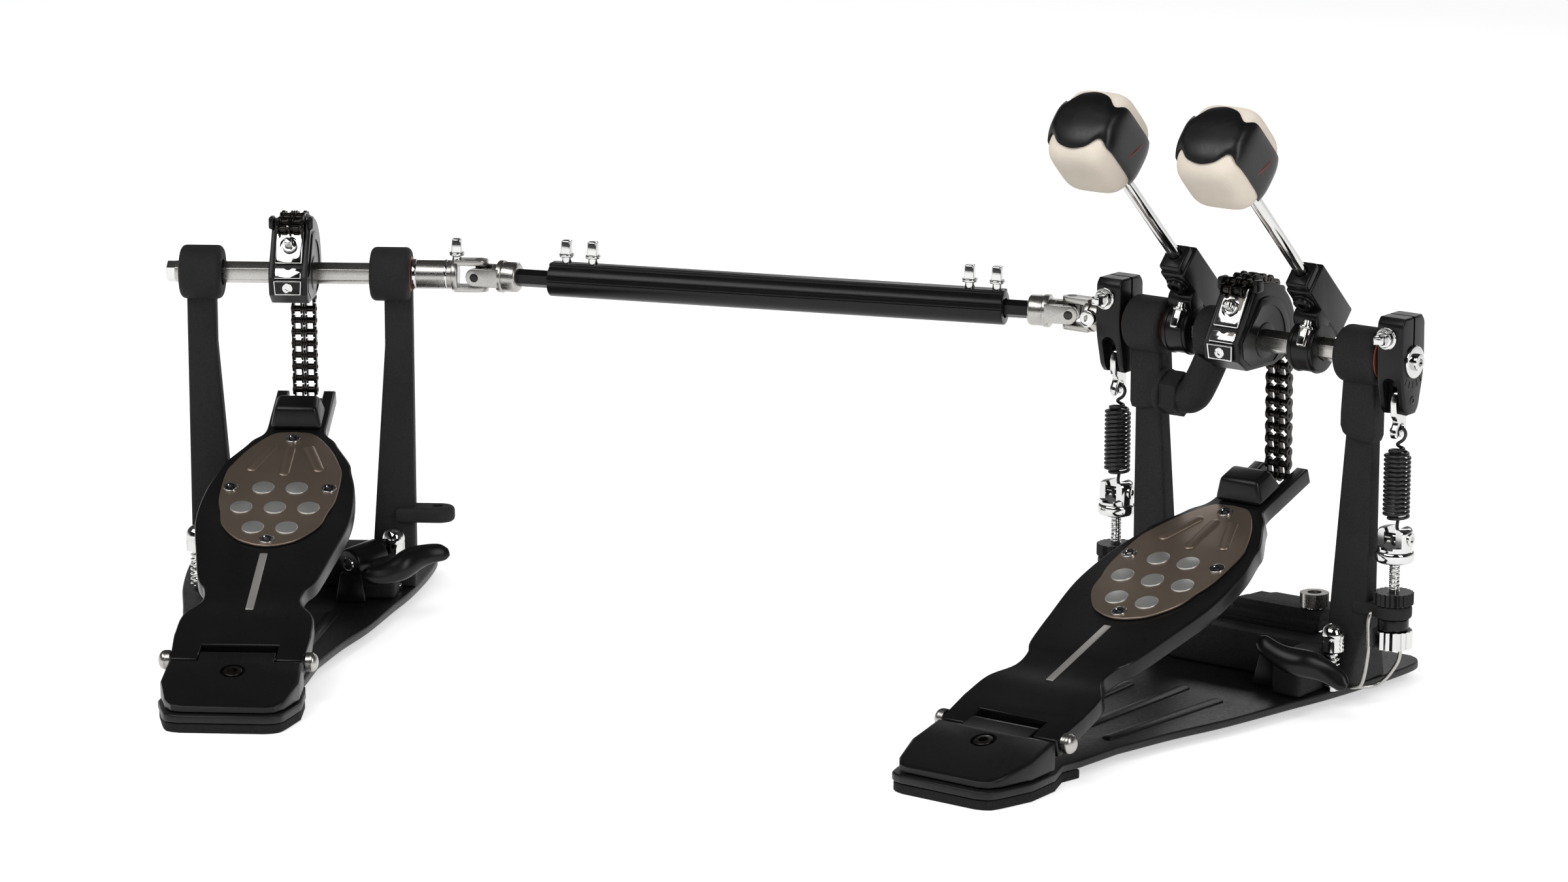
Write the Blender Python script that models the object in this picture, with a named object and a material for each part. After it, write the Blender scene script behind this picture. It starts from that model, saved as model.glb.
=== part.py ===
"""Double bass drum pedal: two foot pedals and two beaters joined by a jointed drive shaft.

All sizes are millimetres in a pedal's own frame, and the helpers turn them into metres: X runs along the
axle to the player's right, Y towards the drum, Z up, and the origin is on the floor under the axle.
The primary pedal's frame is the object's frame.
"""
import math

import bmesh
import bpy
import numpy as np
from mathutils import Matrix, Vector

MM = 0.001
GAP = 0.3
SHARP_ANGLE = math.radians(35)
OBJECT_NAME = "double_bass_drum_pedal"

# Placement of the slave pedal and the two universal joints
SLAVE_X, SLAVE_Y, SLAVE_YAW = -481.6, -159.8, math.radians(33.85)
AXLE_Z = 175.0
SLAVE_JOINT_X = 96.4
OUTPUT_JOINT_X = -103.5

# Base and heel
PLATE_LOW, PLATE_HIGH = 5.0, 9.0
DECK = PLATE_HIGH + GAP
HEEL_PLATE_HALF_WIDTHS = ((-258, 21), (-256, 26.5), (-251, 29.8), (-232, 35), (-212, 34), (-198, 28.5),
                          (-187, 30.5))
BASE_HALF_WIDTHS = ((-157, 32), (-120, 39), (-86, 47.5), (-43, 55), (-12, 60.5), (26, 64.5), (56, 65.5))
BASE_CORNER = ((66, 62), (70, 56))
HEEL_PAD_HALF_WIDTHS = ((-257, 20.5), (-255, 25.5), (-250, 28.8), (-232, 34), (-212, 33), (-198, 27.5),
                        (-186, 29))
FOOT_PLACES = ((0, 0, 20, 14), (46, 44, 8, 8), (-46, 44, 8, 8))
HINGE_Y, HINGE_Z = -203.7, 21.7
PIN_RADIUS = 2.5
PIN_HEAD_RADIUS, PIN_HEAD = 4.8, (33.4, 39.4)
TONGUE_HALF = 18.6
HEEL_HALF_WIDTHS = ((-254.5, 27), (-231, 33.8), (-211, 33))
HEEL_FRONT_TOP, HEEL_BACK_TOP = 12.3, 24.3

# Footboard, in its own flat frame: along the board from the hinge axis, and up from that axis
BOARD_ANGLE = math.radians(18.5)
BOARD_LOW, BOARD_HIGH = -4.6, 4.4
BOARD_HALF_WIDTHS = ((-190, 34), (-173, 32.5), (-161, 25), (-150, 25.5), (-141, 30), (-119, 34.5),
                     (-89, 39.5), (-62, 38.3), (-43, 34), (-35, 32), (-21, 24.5), (-15, 21.6), (-7, 16),
                     (10, 15.5))
TRACTION_HALF_WIDTHS = ((-113, 7), (-108, 16), (-96, 24.8), (-84, 27.5), (-72, 30), (-50, 30), (-40, 27.5),
                        (-25, 20.7), (-12, 10.7))
TRACTION_THICK = 1.4
EAR_RADIUS, EAR_INNER, EAR_OUTER = 6.2, 19.0, 33.0
TOE_ALONG = 247.5
TOE_PIN_RADIUS = 1.6
TOE_LUG_INNER, TOE_LUG_OUTER = 9.0, 15.5
TOE_SLOT_ALONG = 230.0
TOE_BLOCK_SPAN = (211.0, 231.0)
TOE_BLOCK_HALF, TOE_BLOCK_HIGH = 13.0, 14.5

# Axles, cam and chain
HEX_FLATS = 10.0
HEX_RADIUS = HEX_FLATS / 2 / math.cos(math.pi / 6)
HEX_BORE = HEX_RADIUS + GAP / math.cos(math.pi / 6)
CHAIN_RADIUS = 29.5
CHAIN_HALF_WIDTH, CHAIN_HALF_THICK = 6.5, 2.7
CHAIN_END_GAP = 0.8
CHAIN_STEP = math.radians(22.5)
CAM_RADIUS, CAM_FLANGE_RADIUS = 25.6, 28.6
CAM_FLANGE = (7.2, 10.0)
CAM_ARC = (math.radians(-15), math.radians(105))
CAM_FRONT = ((-24.5, 2), (-23, -7.5), (-15, -13), (9, -13.5))
WRAP_ARC = (math.radians(46.6), math.radians(118))

# Posts and hubs, with each post's outline in X and Z
POST_DEPTH, POST_TOP_DEPTH = 11.0, 8.0
POST_KINK_Z, POST_TOP_Z = 138.0, AXLE_Z - 8.0
PRIMARY_LEFT_POST = ((-62, DECK), (-38, DECK), (-47.5, POST_KINK_Z), (-47.5, POST_TOP_Z),
                     (-62.5, POST_TOP_Z))
PRIMARY_RIGHT_POST = ((50, DECK), (65, DECK), (74, 48), (74.3, POST_TOP_Z), (59.3, POST_TOP_Z),
                      (59.3, POST_KINK_Z))
SLAVE_LEFT_POST = ((-56, DECK), (-31.5, DECK), (-41, POST_KINK_Z), (-41, POST_TOP_Z), (-56, POST_TOP_Z))
SLAVE_RIGHT_POST = ((38, DECK), (61.5, DECK), (61.5, POST_TOP_Z), (47, POST_TOP_Z), (47, POST_KINK_Z))
FOOT_WEB = ((0, DECK), (30, DECK), (9, 47), (0, 47))
LEFT_WEB, RIGHT_WEB, RIGHT_WEB_LEAN = (-61.5, -52.0), (55.0, 64.5), 0.23
HUB_RADIUS = 14.0
SLAVE_BORE = HEX_RADIUS + 1.0
BEARING_RADIUS = 9.5
BEARING_LENGTH = 8.0
SLEEVE_FOOT_Z = 132.0
SLEEVE_SIZE = (19.0, 12.0)
SPARE_LUG_LOW, SPARE_LUG_HIGH, SPARE_HOLE_X = (52, -8, 43.5), (82, 8, 52.5), 73.0
ARM_RING = (-25.0, -11.5)
ARM_POINTS = ((-44.6, -4, 143), (-31, -5, 142.5), (-18.5, -3, 165))
ARM_RADII, ARM_RING_RADIUS = (9.5, 7.0), 13.5
SPUR_BALL_RADIUS, SPUR_RADIUS = 5.0, 2.8
SPUR_Y, SPUR_Z = -12.0, 36.0

# Springs and their rockers
LEFT_SPRING_X, RIGHT_SPRING_X = -75.2, 86.2
ROCKER_HALF = 7.2
ROCKER_PROFILE = ((-8, 22), (8, 22), (10.5, 18), (10.5, -4), (6, -22), (4, -26),
                  (-4, -26), (-6, -22), (-10.5, -4), (-10.5, 18))
ROCKER_SLOT_HALF = 2.0
ROCKER_SLOT_TOP = -11.0
ROCKER_PIN_DROP = 19.0
LINK_PIN_RADIUS = 1.5
LINK_HALF = 1.5
LINK_HOLE_RISE = 54.4
LOWER_PIN_Z = 87.6
WIRE_DIAMETER, COIL_RADIUS, COIL_PITCH, HOOK_RADIUS = 1.7, 5.85, 2.2, 3.4
COIL_TURNS, POINTS_PER_TURN = 16, 9
COIL_BOTTOM = 8.9
TENSION_LUG_LOW, TENSION_LUG_HIGH = 47.8, 54.3
TENSION_LUG_RADIUS, ROD_RADIUS, KNOB_RADIUS = 9.0, 2.65, 9.7
ROD_SPAN, DISC_SPAN, DISC_RADIUS = (31.0, 77.0), (75.6, 80.8), 9.3
CLEVIS_EAR, CLEVIS_EAR_SPAN, CLEVIS_DEPTH = (4.4, 7.2), (79.0, 92.7), 5.0
KNOB_TOP, NUT_SPAN, COLLAR_RADIUS = 60.6, (33.0, 41.7), 6.3

# Beaters: the rod passes the axle at a point on the drum side and leans back to the player
BEATER_X = 36.2
BEATER_LEAN = math.radians(46.6)
ROD_FOOT_Y, ROD_FOOT_RISE = 14.4, 15.3
BEATER_ROD_RADIUS = 3.15
BEATER_ROD_SPAN = (-14.0, 128.0)
BEATER_HUB_HALF = 7.0
BEATER_BLOCK = (-9.0, 34.0, -9.0, 8.5)
HEAD_SPAN = (108.0, 149.0)
HEAD_SIZE, HEAD_ROUNDING = (40.0, 44.0), 7.0

# Drive shaft, along its own line from the slave joint
EAR_GAP_HALF, EAR_THICK, YOKE_REACH = 5.4, 3.0, 11.0
YOKE_HALF_WIDTH = 4.8
CROSS_PIN_RADIUS, CROSS_HALF = 2.0, 3.4
SOCKET_RADIUS, SOCKET_END = 7.5, 22.0
DRIVE_ROD_RADIUS = 4.6
DRIVE_ROD_INSIDE = 60.0
TUBE_SPAN = (39.6, 281.9)
TUBE_RADIUS, TUBE_BORE = 8.5, 5.1
TUBE_RIDGE_HALF, TUBE_RIDGE_TOP = 4.0, 9.4

# Hoop clamp and wing bolts
CLAMP_Y, CLAMP_TOP = (-9.0, 14.0), 30.0
JAW_LOW, JAW_HIGH = (-22.0, 8.0, 30.8), (39.0, 52.0, 38.0)
JAW_PAD_LOW, JAW_PAD_HIGH = (-20.0, 17.0, 29.8), (37.0, 50.0, 32.0)
WING_LENGTH, WING_HEIGHT, WING_THICK = 48.0, 13.0, 7.0
WING_AXIS = Vector((0.5, -0.78, 0.38)).normalized()
WING_SHAFT, WING_SHAFT_RADIUS = 24.0, 3.6
BRACKET_BACK = 18.0
PRIMARY_WING, PRIMARY_WING_ALONG = Vector((63.0, -45, 30.6)), Vector((37, 20, -22.7))
SLAVE_WING, SLAVE_WING_ALONG = Vector((61.3, -42, 30.9)), Vector((32, 28, 3.2))

BLACK_PAINT = ("black_paint", (0.020, 0.020, 0.021), 0.42, 0.0)
POWDER_COAT = ("powder_coat", (0.017, 0.017, 0.018), 0.75, 0.0)
BRONZE = ("bronze_plate", (0.150, 0.105, 0.075), 0.38, 0.9)
CHROME = ("chrome", (0.80, 0.80, 0.79), 0.12, 1.0)
STEEL = ("brushed_steel", (0.55, 0.54, 0.52), 0.32, 1.0)
CHAIN_STEEL = ("chain_steel", (0.070, 0.066, 0.060), 0.35, 1.0)
RUBBER = ("rubber", (0.015, 0.015, 0.015), 0.90, 0.0)
SPRING_BLACK = ("spring_black", (0.022, 0.022, 0.022), 0.45, 0.4)
FELT = ("felt", (0.780, 0.730, 0.640), 0.95, 0.0)

PARTS = None
TOOLS = None


def clear_scene():
    for old in list(bpy.data.objects):
        bpy.data.objects.remove(old, do_unlink=True)


def new_collection(name):
    collection = bpy.data.collections.new(name)
    bpy.context.scene.collection.children.link(collection)
    return collection


def material(look):
    name, colour, roughness, metallic = look
    found = bpy.data.materials.get(name)
    if found:
        return found
    made = bpy.data.materials.new(name)
    made.use_nodes = True
    shader = made.node_tree.nodes["Principled BSDF"]
    shader.inputs["Base Color"].default_value = (*colour, 1)
    shader.inputs["Roughness"].default_value = roughness
    shader.inputs["Metallic"].default_value = metallic
    return made


def frame_empty(name, location, yaw):
    empty = bpy.data.objects.new(name, None)
    empty.location = Vector(location) * MM
    empty.rotation_euler.z = yaw
    PARTS.objects.link(empty)
    return empty


# Basic shapes, each a closed bmesh in millimetres

def block(low, high, bevel=0.0):
    size = [b - a for a, b in zip(low, high)]
    middle = [(a + b) / 2 for a, b in zip(low, high)]
    bm = bmesh.new()
    bmesh.ops.create_cube(bm, size=1, matrix=Matrix.Translation(middle) @ Matrix.Diagonal((*size, 1)))
    if bevel:
        bmesh.ops.bevel(bm, geom=bm.edges[:], offset=bevel, segments=1, affect="EDGES", profile=0.5)
    return bm


def tapered(foot_low, foot_high, top_scale, bevel=0.0):
    """A block whose top face is scaled in X and Y about its own middle."""
    bm = block(foot_low, foot_high)
    top = max(v.co.z for v in bm.verts)
    middle = (Vector(foot_low) + Vector(foot_high)) / 2
    for vert in bm.verts:
        if vert.co.z > top - 0.01:
            vert.co.x = middle.x + (vert.co.x - middle.x) * top_scale[0]
            vert.co.y = middle.y + (vert.co.y - middle.y) * top_scale[1]
    if bevel:
        bmesh.ops.bevel(bm, geom=bm.edges[:], offset=bevel, segments=1, affect="EDGES", profile=0.5)
    return bm


def bar(start, end, radius, sides=14, bevel=0.0):
    """A round or many-sided bar between two points."""
    start, end = Vector(start), Vector(end)
    turn = (end - start).to_track_quat("Z", "Y").to_matrix().to_4x4()
    place = Matrix.Translation((start + end) / 2) @ turn
    bm = bmesh.new()
    bmesh.ops.create_cone(bm, cap_ends=True, segments=sides, radius1=radius, radius2=radius,
                          depth=(end - start).length, matrix=place)
    if bevel:
        rims = [edge for edge in bm.edges if edge.calc_face_angle() > 1.2]
        bmesh.ops.bevel(bm, geom=rims, offset=bevel, segments=1, affect="EDGES", profile=0.5)
    return bm


def x_bar(x_low, x_high, y, z, radius, sides=14, bevel=0.0):
    return bar((x_low, y, z), (x_high, y, z), radius, sides, bevel)


def ball(centre, radius):
    bm = bmesh.new()
    place = Matrix.Translation(centre)
    bmesh.ops.create_uvsphere(bm, u_segments=12, v_segments=8, radius=radius, matrix=place)
    return bm


def plate(outline, low, high):
    """A flat outline in X and Y between two heights, made from a filled 2D curve."""
    curve = bpy.data.curves.new("outline", "CURVE")
    curve.dimensions = "2D"
    curve.fill_mode = "BOTH"
    curve.extrude = (high - low) / 2
    spline = curve.splines.new("POLY")
    spline.points.add(len(outline) - 1)
    for point, (x, y) in zip(spline.points, outline):
        point.co = (x, y, 0, 1)
    spline.use_cyclic_u = True
    holder = bpy.data.objects.new("outline", curve)
    bpy.context.scene.collection.objects.link(holder)
    mesh = bpy.data.meshes.new_from_object(holder.evaluated_get(bpy.context.evaluated_depsgraph_get()))
    bpy.data.objects.remove(holder, do_unlink=True)
    bm = bmesh.new()
    bm.from_mesh(mesh)
    bmesh.ops.remove_doubles(bm, verts=bm.verts[:], dist=1e-4)
    bmesh.ops.recalc_face_normals(bm, faces=bm.faces[:])
    bmesh.ops.translate(bm, verts=bm.verts[:], vec=(0, 0, (low + high) / 2))
    return bm


def side_plate(outline, x_low, x_high):
    """An outline in Y and Z, extruded along X."""
    bm = plate(outline, x_low, x_high)
    return moved(bm, Matrix(((0, 0, 1, 0), (1, 0, 0, 0), (0, 1, 0, 0), (0, 0, 0, 1))))


def moved(bm, matrix):
    bmesh.ops.transform(bm, matrix=matrix, verts=bm.verts[:])
    return bm


# Outlines

def smooth(points, steps=3):
    """A curve through the points, which passes through each of them."""
    pts = np.array(points, float)
    padded = np.vstack((2 * pts[0] - pts[1], pts, 2 * pts[-1] - pts[-2]))
    out = []
    for p0, p1, p2, p3 in zip(padded, padded[1:], padded[2:], padded[3:]):
        for step in range(steps):
            t = step / steps
            out.append(0.5 * (2 * p1 + (p2 - p0) * t + (2 * p0 - 5 * p1 + 4 * p2 - p3) * t ** 2
                              + (3 * p1 - p0 - 3 * p2 + p3) * t ** 3))
    out.append(pts[-1])
    return [(float(x), float(y)) for x, y in out]


def mirrored(right_side):
    """A closed outline from its right side, listed from the heel to the drum end."""
    return list(right_side) + [(-x, y) for x, y in reversed(right_side)]


def arc(radius, low, high, steps):
    angles = [low + (high - low) * i / steps for i in range(steps + 1)]
    return [(radius * math.cos(angle), radius * math.sin(angle)) for angle in angles]


def along_board(y):
    """Distance along the footboard of a point on its top face that is seen at y."""
    return (y - HINGE_Y) / math.cos(BOARD_ANGLE) + BOARD_HIGH * math.tan(BOARD_ANGLE)


# Pieces

def mesh_object(name, bm, frame, origin, collection):
    mesh = bpy.data.meshes.new(name)
    bmesh.ops.translate(bm, verts=bm.verts[:], vec=-Vector(origin))
    bmesh.ops.scale(bm, verts=bm.verts[:], vec=(MM, MM, MM))
    bm.to_mesh(mesh)
    bm.free()
    mesh.shade_smooth()
    mesh.set_sharp_from_angle(angle=SHARP_ANGLE)
    obj = bpy.data.objects.new(name, mesh)
    obj.parent = frame
    obj.location = Vector(origin) * MM
    collection.objects.link(obj)
    return obj


def piece(name, frame, look, shapes, cuts=(), origin=(0, 0, 0), late=()):
    """One sub-part: the first shape joined with the others, then cut, then joined with the late ones."""
    obj = mesh_object(name, shapes[0], frame, origin, PARTS)
    obj.data.materials.append(material(look))
    steps = [("UNION", shape) for shape in shapes[1:]] + [("DIFFERENCE", shape) for shape in cuts]
    steps += [("UNION", shape) for shape in late]
    for index, (operation, shape) in enumerate(steps):
        tool = mesh_object(f"{name}_tool_{index}", shape, frame, origin, TOOLS)
        tool.hide_render = True
        tool.display_type = "WIRE"
        modifier = obj.modifiers.new(f"{operation.lower()}_{index}", "BOOLEAN")
        modifier.operation = operation
        modifier.object = tool


def base_plate(pedal, frame):
    outline = mirrored([(x, y) for y, x in HEEL_PLATE_HALF_WIDTHS]
                       + smooth([(x, y) for y, x in BASE_HALF_WIDTHS], 2)
                       + [(x, y) for y, x in BASE_CORNER])
    feet = [block((x - a, y - b, 0), (x + a, y + b, PLATE_LOW + 1.0)) for x, y, a, b in FOOT_PLACES]
    piece(f"{pedal}_base_plate", frame, BLACK_PAINT, [plate(outline, PLATE_LOW, PLATE_HIGH), *feet])


def heel(pedal, frame):
    pad = mirrored([(x, y) for y, x in HEEL_PAD_HALF_WIDTHS])
    piece(f"{pedal}_heel_pad", frame, RUBBER, [plate(pad, 0, PLATE_LOW - GAP)])

    front, back = HEEL_HALF_WIDTHS[0][0], HEEL_HALF_WIDTHS[-1][0]
    wedge = plate(mirrored([(x, y) for y, x in HEEL_HALF_WIDTHS]), DECK, HEEL_BACK_TOP)
    for vert in wedge.verts:
        if vert.co.z > DECK + 1:
            vert.co.z += (HEEL_FRONT_TOP - HEEL_BACK_TOP) * (back - vert.co.y) / (back - front)
    tongue = block((-TONGUE_HALF, back - 4, DECK), (TONGUE_HALF, HINGE_Y, HINGE_Z))
    knuckle = x_bar(-TONGUE_HALF, TONGUE_HALF, HINGE_Y, HINGE_Z, EAR_RADIUS - 0.6)
    bore = x_bar(-TONGUE_HALF - 9, TONGUE_HALF + 9, HINGE_Y, HINGE_Z, PIN_RADIUS + GAP, 12)
    piece(f"{pedal}_heel_block", frame, BLACK_PAINT, [wedge, tongue, knuckle], [bore])

    ends = [x_bar(*sorted((side * PIN_HEAD[0], side * PIN_HEAD[1])), HINGE_Y, HINGE_Z, PIN_HEAD_RADIUS, 12)
            for side in (-1, 1)]
    piece(f"{pedal}_hinge_pin", frame, STEEL, [x_bar(-36, 36, HINGE_Y, HINGE_Z, PIN_RADIUS, 12), *ends])


def footboard(pedal, frame):
    place = Matrix.Translation((0, HINGE_Y, HINGE_Z)) @ Matrix.Rotation(BOARD_ANGLE, 4, "X")
    hinge = (0, HINGE_Y, HINGE_Z)
    sides = smooth([(x, along_board(y)) for y, x in BOARD_HALF_WIDTHS], 2)
    toe_end = TOE_ALONG + 4
    outline = mirrored([(EAR_INNER, 8), (EAR_INNER, 0), (EAR_OUTER, 0), *sides, (TOE_LUG_OUTER, toe_end),
                        (TOE_LUG_INNER, toe_end), (TOE_LUG_INNER, TOE_SLOT_ALONG)])
    ears = [moved(x_bar(side * EAR_INNER, side * EAR_OUTER, 0, 0, EAR_RADIUS), place) for side in (-1, 1)]
    toe_pin = moved(x_bar(-TOE_LUG_OUTER + 1, TOE_LUG_OUTER - 1, TOE_ALONG, 0, TOE_PIN_RADIUS, 10), place)
    bore = moved(x_bar(-EAR_OUTER - 9, EAR_OUTER + 9, 0, 0, PIN_RADIUS + GAP, 12), place)
    board = moved(plate(outline, BOARD_LOW, BOARD_HIGH), place)
    piece(f"{pedal}_footboard", frame, BLACK_PAINT, [board, *ears, toe_pin], [bore], hinge)

    egg = mirrored(smooth([(x, along_board(y)) for y, x in TRACTION_HALF_WIDTHS], 2))
    bottom = BOARD_HIGH + GAP
    traction = moved(plate(egg, bottom, bottom + TRACTION_THICK), place)
    piece(f"{pedal}_traction_plate", frame, BRONZE, [traction], origin=hinge)

    toe = tapered((-TOE_BLOCK_HALF, TOE_BLOCK_SPAN[0], bottom),
                  (TOE_BLOCK_HALF, TOE_BLOCK_SPAN[1], TOE_BLOCK_HIGH), (0.88, 0.72), 1.5)
    piece(f"{pedal}_toe_block", frame, BLACK_PAINT, [moved(toe, place)], origin=hinge)


def hex_bar(x_low, x_high, radius=HEX_RADIUS):
    return x_bar(x_low, x_high, 0, AXLE_Z, radius, 6)


def cam(pedal, frame):
    def profile(radius):
        front = [(y, z + AXLE_Z) for y, z in CAM_FRONT]
        return [(y, z + AXLE_Z) for y, z in arc(radius, *CAM_ARC, 12)] + front

    core = side_plate(profile(CAM_RADIUS), -CAM_FLANGE[0] - 1, CAM_FLANGE[0] + 1)
    flanges = [side_plate(profile(CAM_FLANGE_RADIUS), *sorted((side * CAM_FLANGE[0], side * CAM_FLANGE[1])))
               for side in (-1, 1)]
    piece(f"{pedal}_cam", frame, BLACK_PAINT, [core, *flanges], [hex_bar(-14, 14, HEX_BORE)], (0, 0, AXLE_Z))


def chain(pedal, frame):
    """The chain as a wrap on the cam, two stretches that come off it, and the straight run to the toe."""
    inner, outer = CAM_RADIUS + GAP, CHAIN_RADIUS + CHAIN_HALF_THICK
    ring = arc(outer, *WRAP_ARC, 8) + arc(inner, *reversed(WRAP_ARC), 8)
    wrap = side_plate([(y, z + AXLE_Z) for y, z in ring], -CHAIN_HALF_WIDTH, CHAIN_HALF_WIDTH)
    piece(f"{pedal}_chain_wrap", frame, CHAIN_STEEL, [wrap], origin=(0, 0, AXLE_Z))

    turns = [step * CHAIN_STEP for step in (2, 1, 0)]
    centre = Vector((0, 0, AXLE_Z))
    pins = [centre + Vector((0, math.cos(turn), math.sin(turn))) * CHAIN_RADIUS for turn in turns]
    pins.append(toe_pin_place())
    names = ("chain_link_a", "chain_link_b", "chain_run")
    end_gaps = (CHAIN_END_GAP, CHAIN_END_GAP, TOE_PIN_RADIUS + 0.7)
    for name, start, end, end_gap in zip(names, pins, pins[1:], end_gaps):
        length = (end - start).length
        strip = block((-CHAIN_HALF_WIDTH, -CHAIN_HALF_THICK, CHAIN_END_GAP),
                      (CHAIN_HALF_WIDTH, CHAIN_HALF_THICK, length - end_gap))
        lean = Matrix.Rotation(math.atan2(start.y - end.y, end.z - start.z), 4, "X")
        stretch = moved(strip, Matrix.Translation(start) @ lean)
        piece(f"{pedal}_{name}", frame, CHAIN_STEEL, [stretch], origin=start)


def toe_pin_place():
    hinge = Vector((0, HINGE_Y, HINGE_Z))
    return hinge + Vector((0, math.cos(BOARD_ANGLE), math.sin(BOARD_ANGLE))) * TOE_ALONG


def post(name, frame, outline, hub, bore, extra=(), cuts=()):
    """A post that narrows upwards, with the barrel on its top that holds the axle."""
    upright = Matrix(((1, 0, 0, 0), (0, 0, -1, 0), (0, 1, 0, 0), (0, 0, 0, 1)))
    column = moved(plate(outline, -POST_DEPTH / 2, POST_DEPTH / 2), upright)
    for vert in column.verts:
        rise = (vert.co.z - DECK) / (POST_TOP_Z - DECK)
        vert.co.y *= 1 - rise * (1 - POST_TOP_DEPTH / POST_DEPTH)
    barrel = x_bar(*hub, 0, AXLE_Z, HUB_RADIUS, 16, 2.0)
    hole = x_bar(hub[0] - 5, hub[1] + 5, 0, AXLE_Z, bore)
    piece(name, frame, POWDER_COAT, [column, barrel, *extra], [hole, *cuts])


def tension_lug(post_x, spring_x):
    """The lug on a post that takes a tension rod, and its hole."""
    low_x, high_x = sorted((post_x, spring_x))
    arm = block((low_x, -6, TENSION_LUG_LOW), (high_x, 6, TENSION_LUG_HIGH))
    boss = bar((spring_x, 0, TENSION_LUG_LOW), (spring_x, 0, TENSION_LUG_HIGH), TENSION_LUG_RADIUS)
    hole = bar((spring_x, 0, TENSION_LUG_LOW - 5), (spring_x, 0, TENSION_LUG_HIGH + 5), ROD_RADIUS + GAP, 12)
    return [arm, boss], [hole]


def foot_web(x_low, x_high, lean):
    """The web behind a post's foot, which leans out with the post's side."""
    web = side_plate(FOOT_WEB, x_low, x_high)
    for vert in web.verts:
        vert.co.x += lean * (vert.co.z - DECK)
    return web


def sleeve(post_x):
    half_x, half_y = SLEEVE_SIZE[0] / 2, SLEEVE_SIZE[1] / 2
    return block((post_x - half_x, -half_y, SLEEVE_FOOT_Z), (post_x + half_x, half_y, AXLE_Z - 6), 1.5)


def clamp_body(pedal, frame, x_low, x_high, wing):
    """The bar across the feet of the posts, with the bracket that carries the wing bolt."""
    middle = wing - WING_AXIS * BRACKET_BACK
    beam = block((x_low, CLAMP_Y[0], DECK), (x_high, CLAMP_Y[1], CLAMP_TOP), 1.5)
    bracket = block((min(middle.x - 14, x_high - 4), middle.y - 5, DECK),
                    (middle.x + 2, CLAMP_Y[0] + 3, CLAMP_TOP))
    hole = bar(wing - WING_AXIS * 60, wing + WING_AXIS * 10, WING_SHAFT_RADIUS + GAP, 14)
    piece(f"{pedal}_clamp_body", frame, BLACK_PAINT, [beam, bracket], [hole])


def wing_bolt(pedal, frame, centre, along):
    """A wing that lies along a direction, and the shaft it turns."""
    across = WING_AXIS.cross(along).normalized()
    turn = Matrix((across.cross(WING_AXIS), across, WING_AXIS)).transposed().to_4x4()
    half = (WING_LENGTH / 2, WING_HEIGHT / 2, WING_THICK / 2)
    wing = tapered((-half[0], -half[1], -half[2]), half, (0.92, 0.6), 1.2)
    shaft = bar(centre - WING_AXIS * WING_SHAFT, centre, WING_SHAFT_RADIUS, 14)
    shapes = [moved(wing, Matrix.Translation(centre) @ turn), shaft]
    piece(f"{pedal}_wing_bolt", frame, BLACK_PAINT, shapes, origin=centre)


def pedal_common(pedal, frame):
    base_plate(pedal, frame)
    heel(pedal, frame)
    footboard(pedal, frame)
    cam(pedal, frame)
    chain(pedal, frame)


# Springs

def spring_path():
    """Points of one spring's wire above its lower pin: hook, coil that draws in at its ends, hook."""
    turns = [math.radians(degrees) for degrees in range(170, 405, 39)]
    hook = [Vector((0, HOOK_RADIUS * math.cos(a), HOOK_RADIUS * math.sin(a))) for a in turns]
    points = hook + [Vector((0, 1.2, 5.0))]
    count = COIL_TURNS * POINTS_PER_TURN
    for index in range(count + 1):
        turn = index / POINTS_PER_TURN
        draw_in = min(1.0, 0.35 + 0.65 * turn / 0.8, 0.42 + 0.58 * (COIL_TURNS - turn) / 1.6)
        angle = math.pi / 2 + 2 * math.pi * turn
        radius = COIL_RADIUS * draw_in
        height = COIL_BOTTOM + COIL_PITCH * turn
        points.append(Vector((radius * math.cos(angle), radius * math.sin(angle), height)))
    top = LINK_HOLE_RISE
    upper_hook = ((0, -0.5, top - 8.2), (2.8, 0, top - 5.9), (4.1, 0, top - 3.0), (3.0, 0, top - 0.7),
                  (0, 0, top), (-3.0, 0, top - 0.7), (-4.1, 0, top - 2.6))
    return points + [Vector(p) for p in upper_hook]


def least_gap(points):
    """Smallest clear distance between stretches of the wire that are more than half a turn apart."""
    pts = np.array(points)
    along = np.concatenate(([0], np.cumsum(np.linalg.norm(np.diff(pts, axis=0), axis=1))))
    apart = np.abs(along[:, None] - along[None, :]) > math.pi * COIL_RADIUS * 0.6
    distance = np.linalg.norm(pts[:, None] - pts[None, :], axis=2)
    return float(distance[apart].min()) - WIRE_DIAMETER


def spring(name, frame, x):
    origin = Vector((x, 0, LOWER_PIN_Z))
    curve = bpy.data.curves.new(name, "CURVE")
    curve.dimensions = "3D"
    curve.bevel_depth = WIRE_DIAMETER / 2 * MM
    curve.bevel_resolution = 1
    curve.use_fill_caps = True
    points = spring_path()
    line = curve.splines.new("POLY")
    line.points.add(len(points) - 1)
    for target, point in zip(line.points, points):
        target.co = (*(point * MM), 1)
    obj = bpy.data.objects.new(name, curve)
    obj.parent = frame
    obj.location = origin * MM
    obj.data.materials.append(material(SPRING_BLACK))
    PARTS.objects.link(obj)
    print(f"{name}: least gap of the wire to itself {least_gap(points):.3f} mm")


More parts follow.
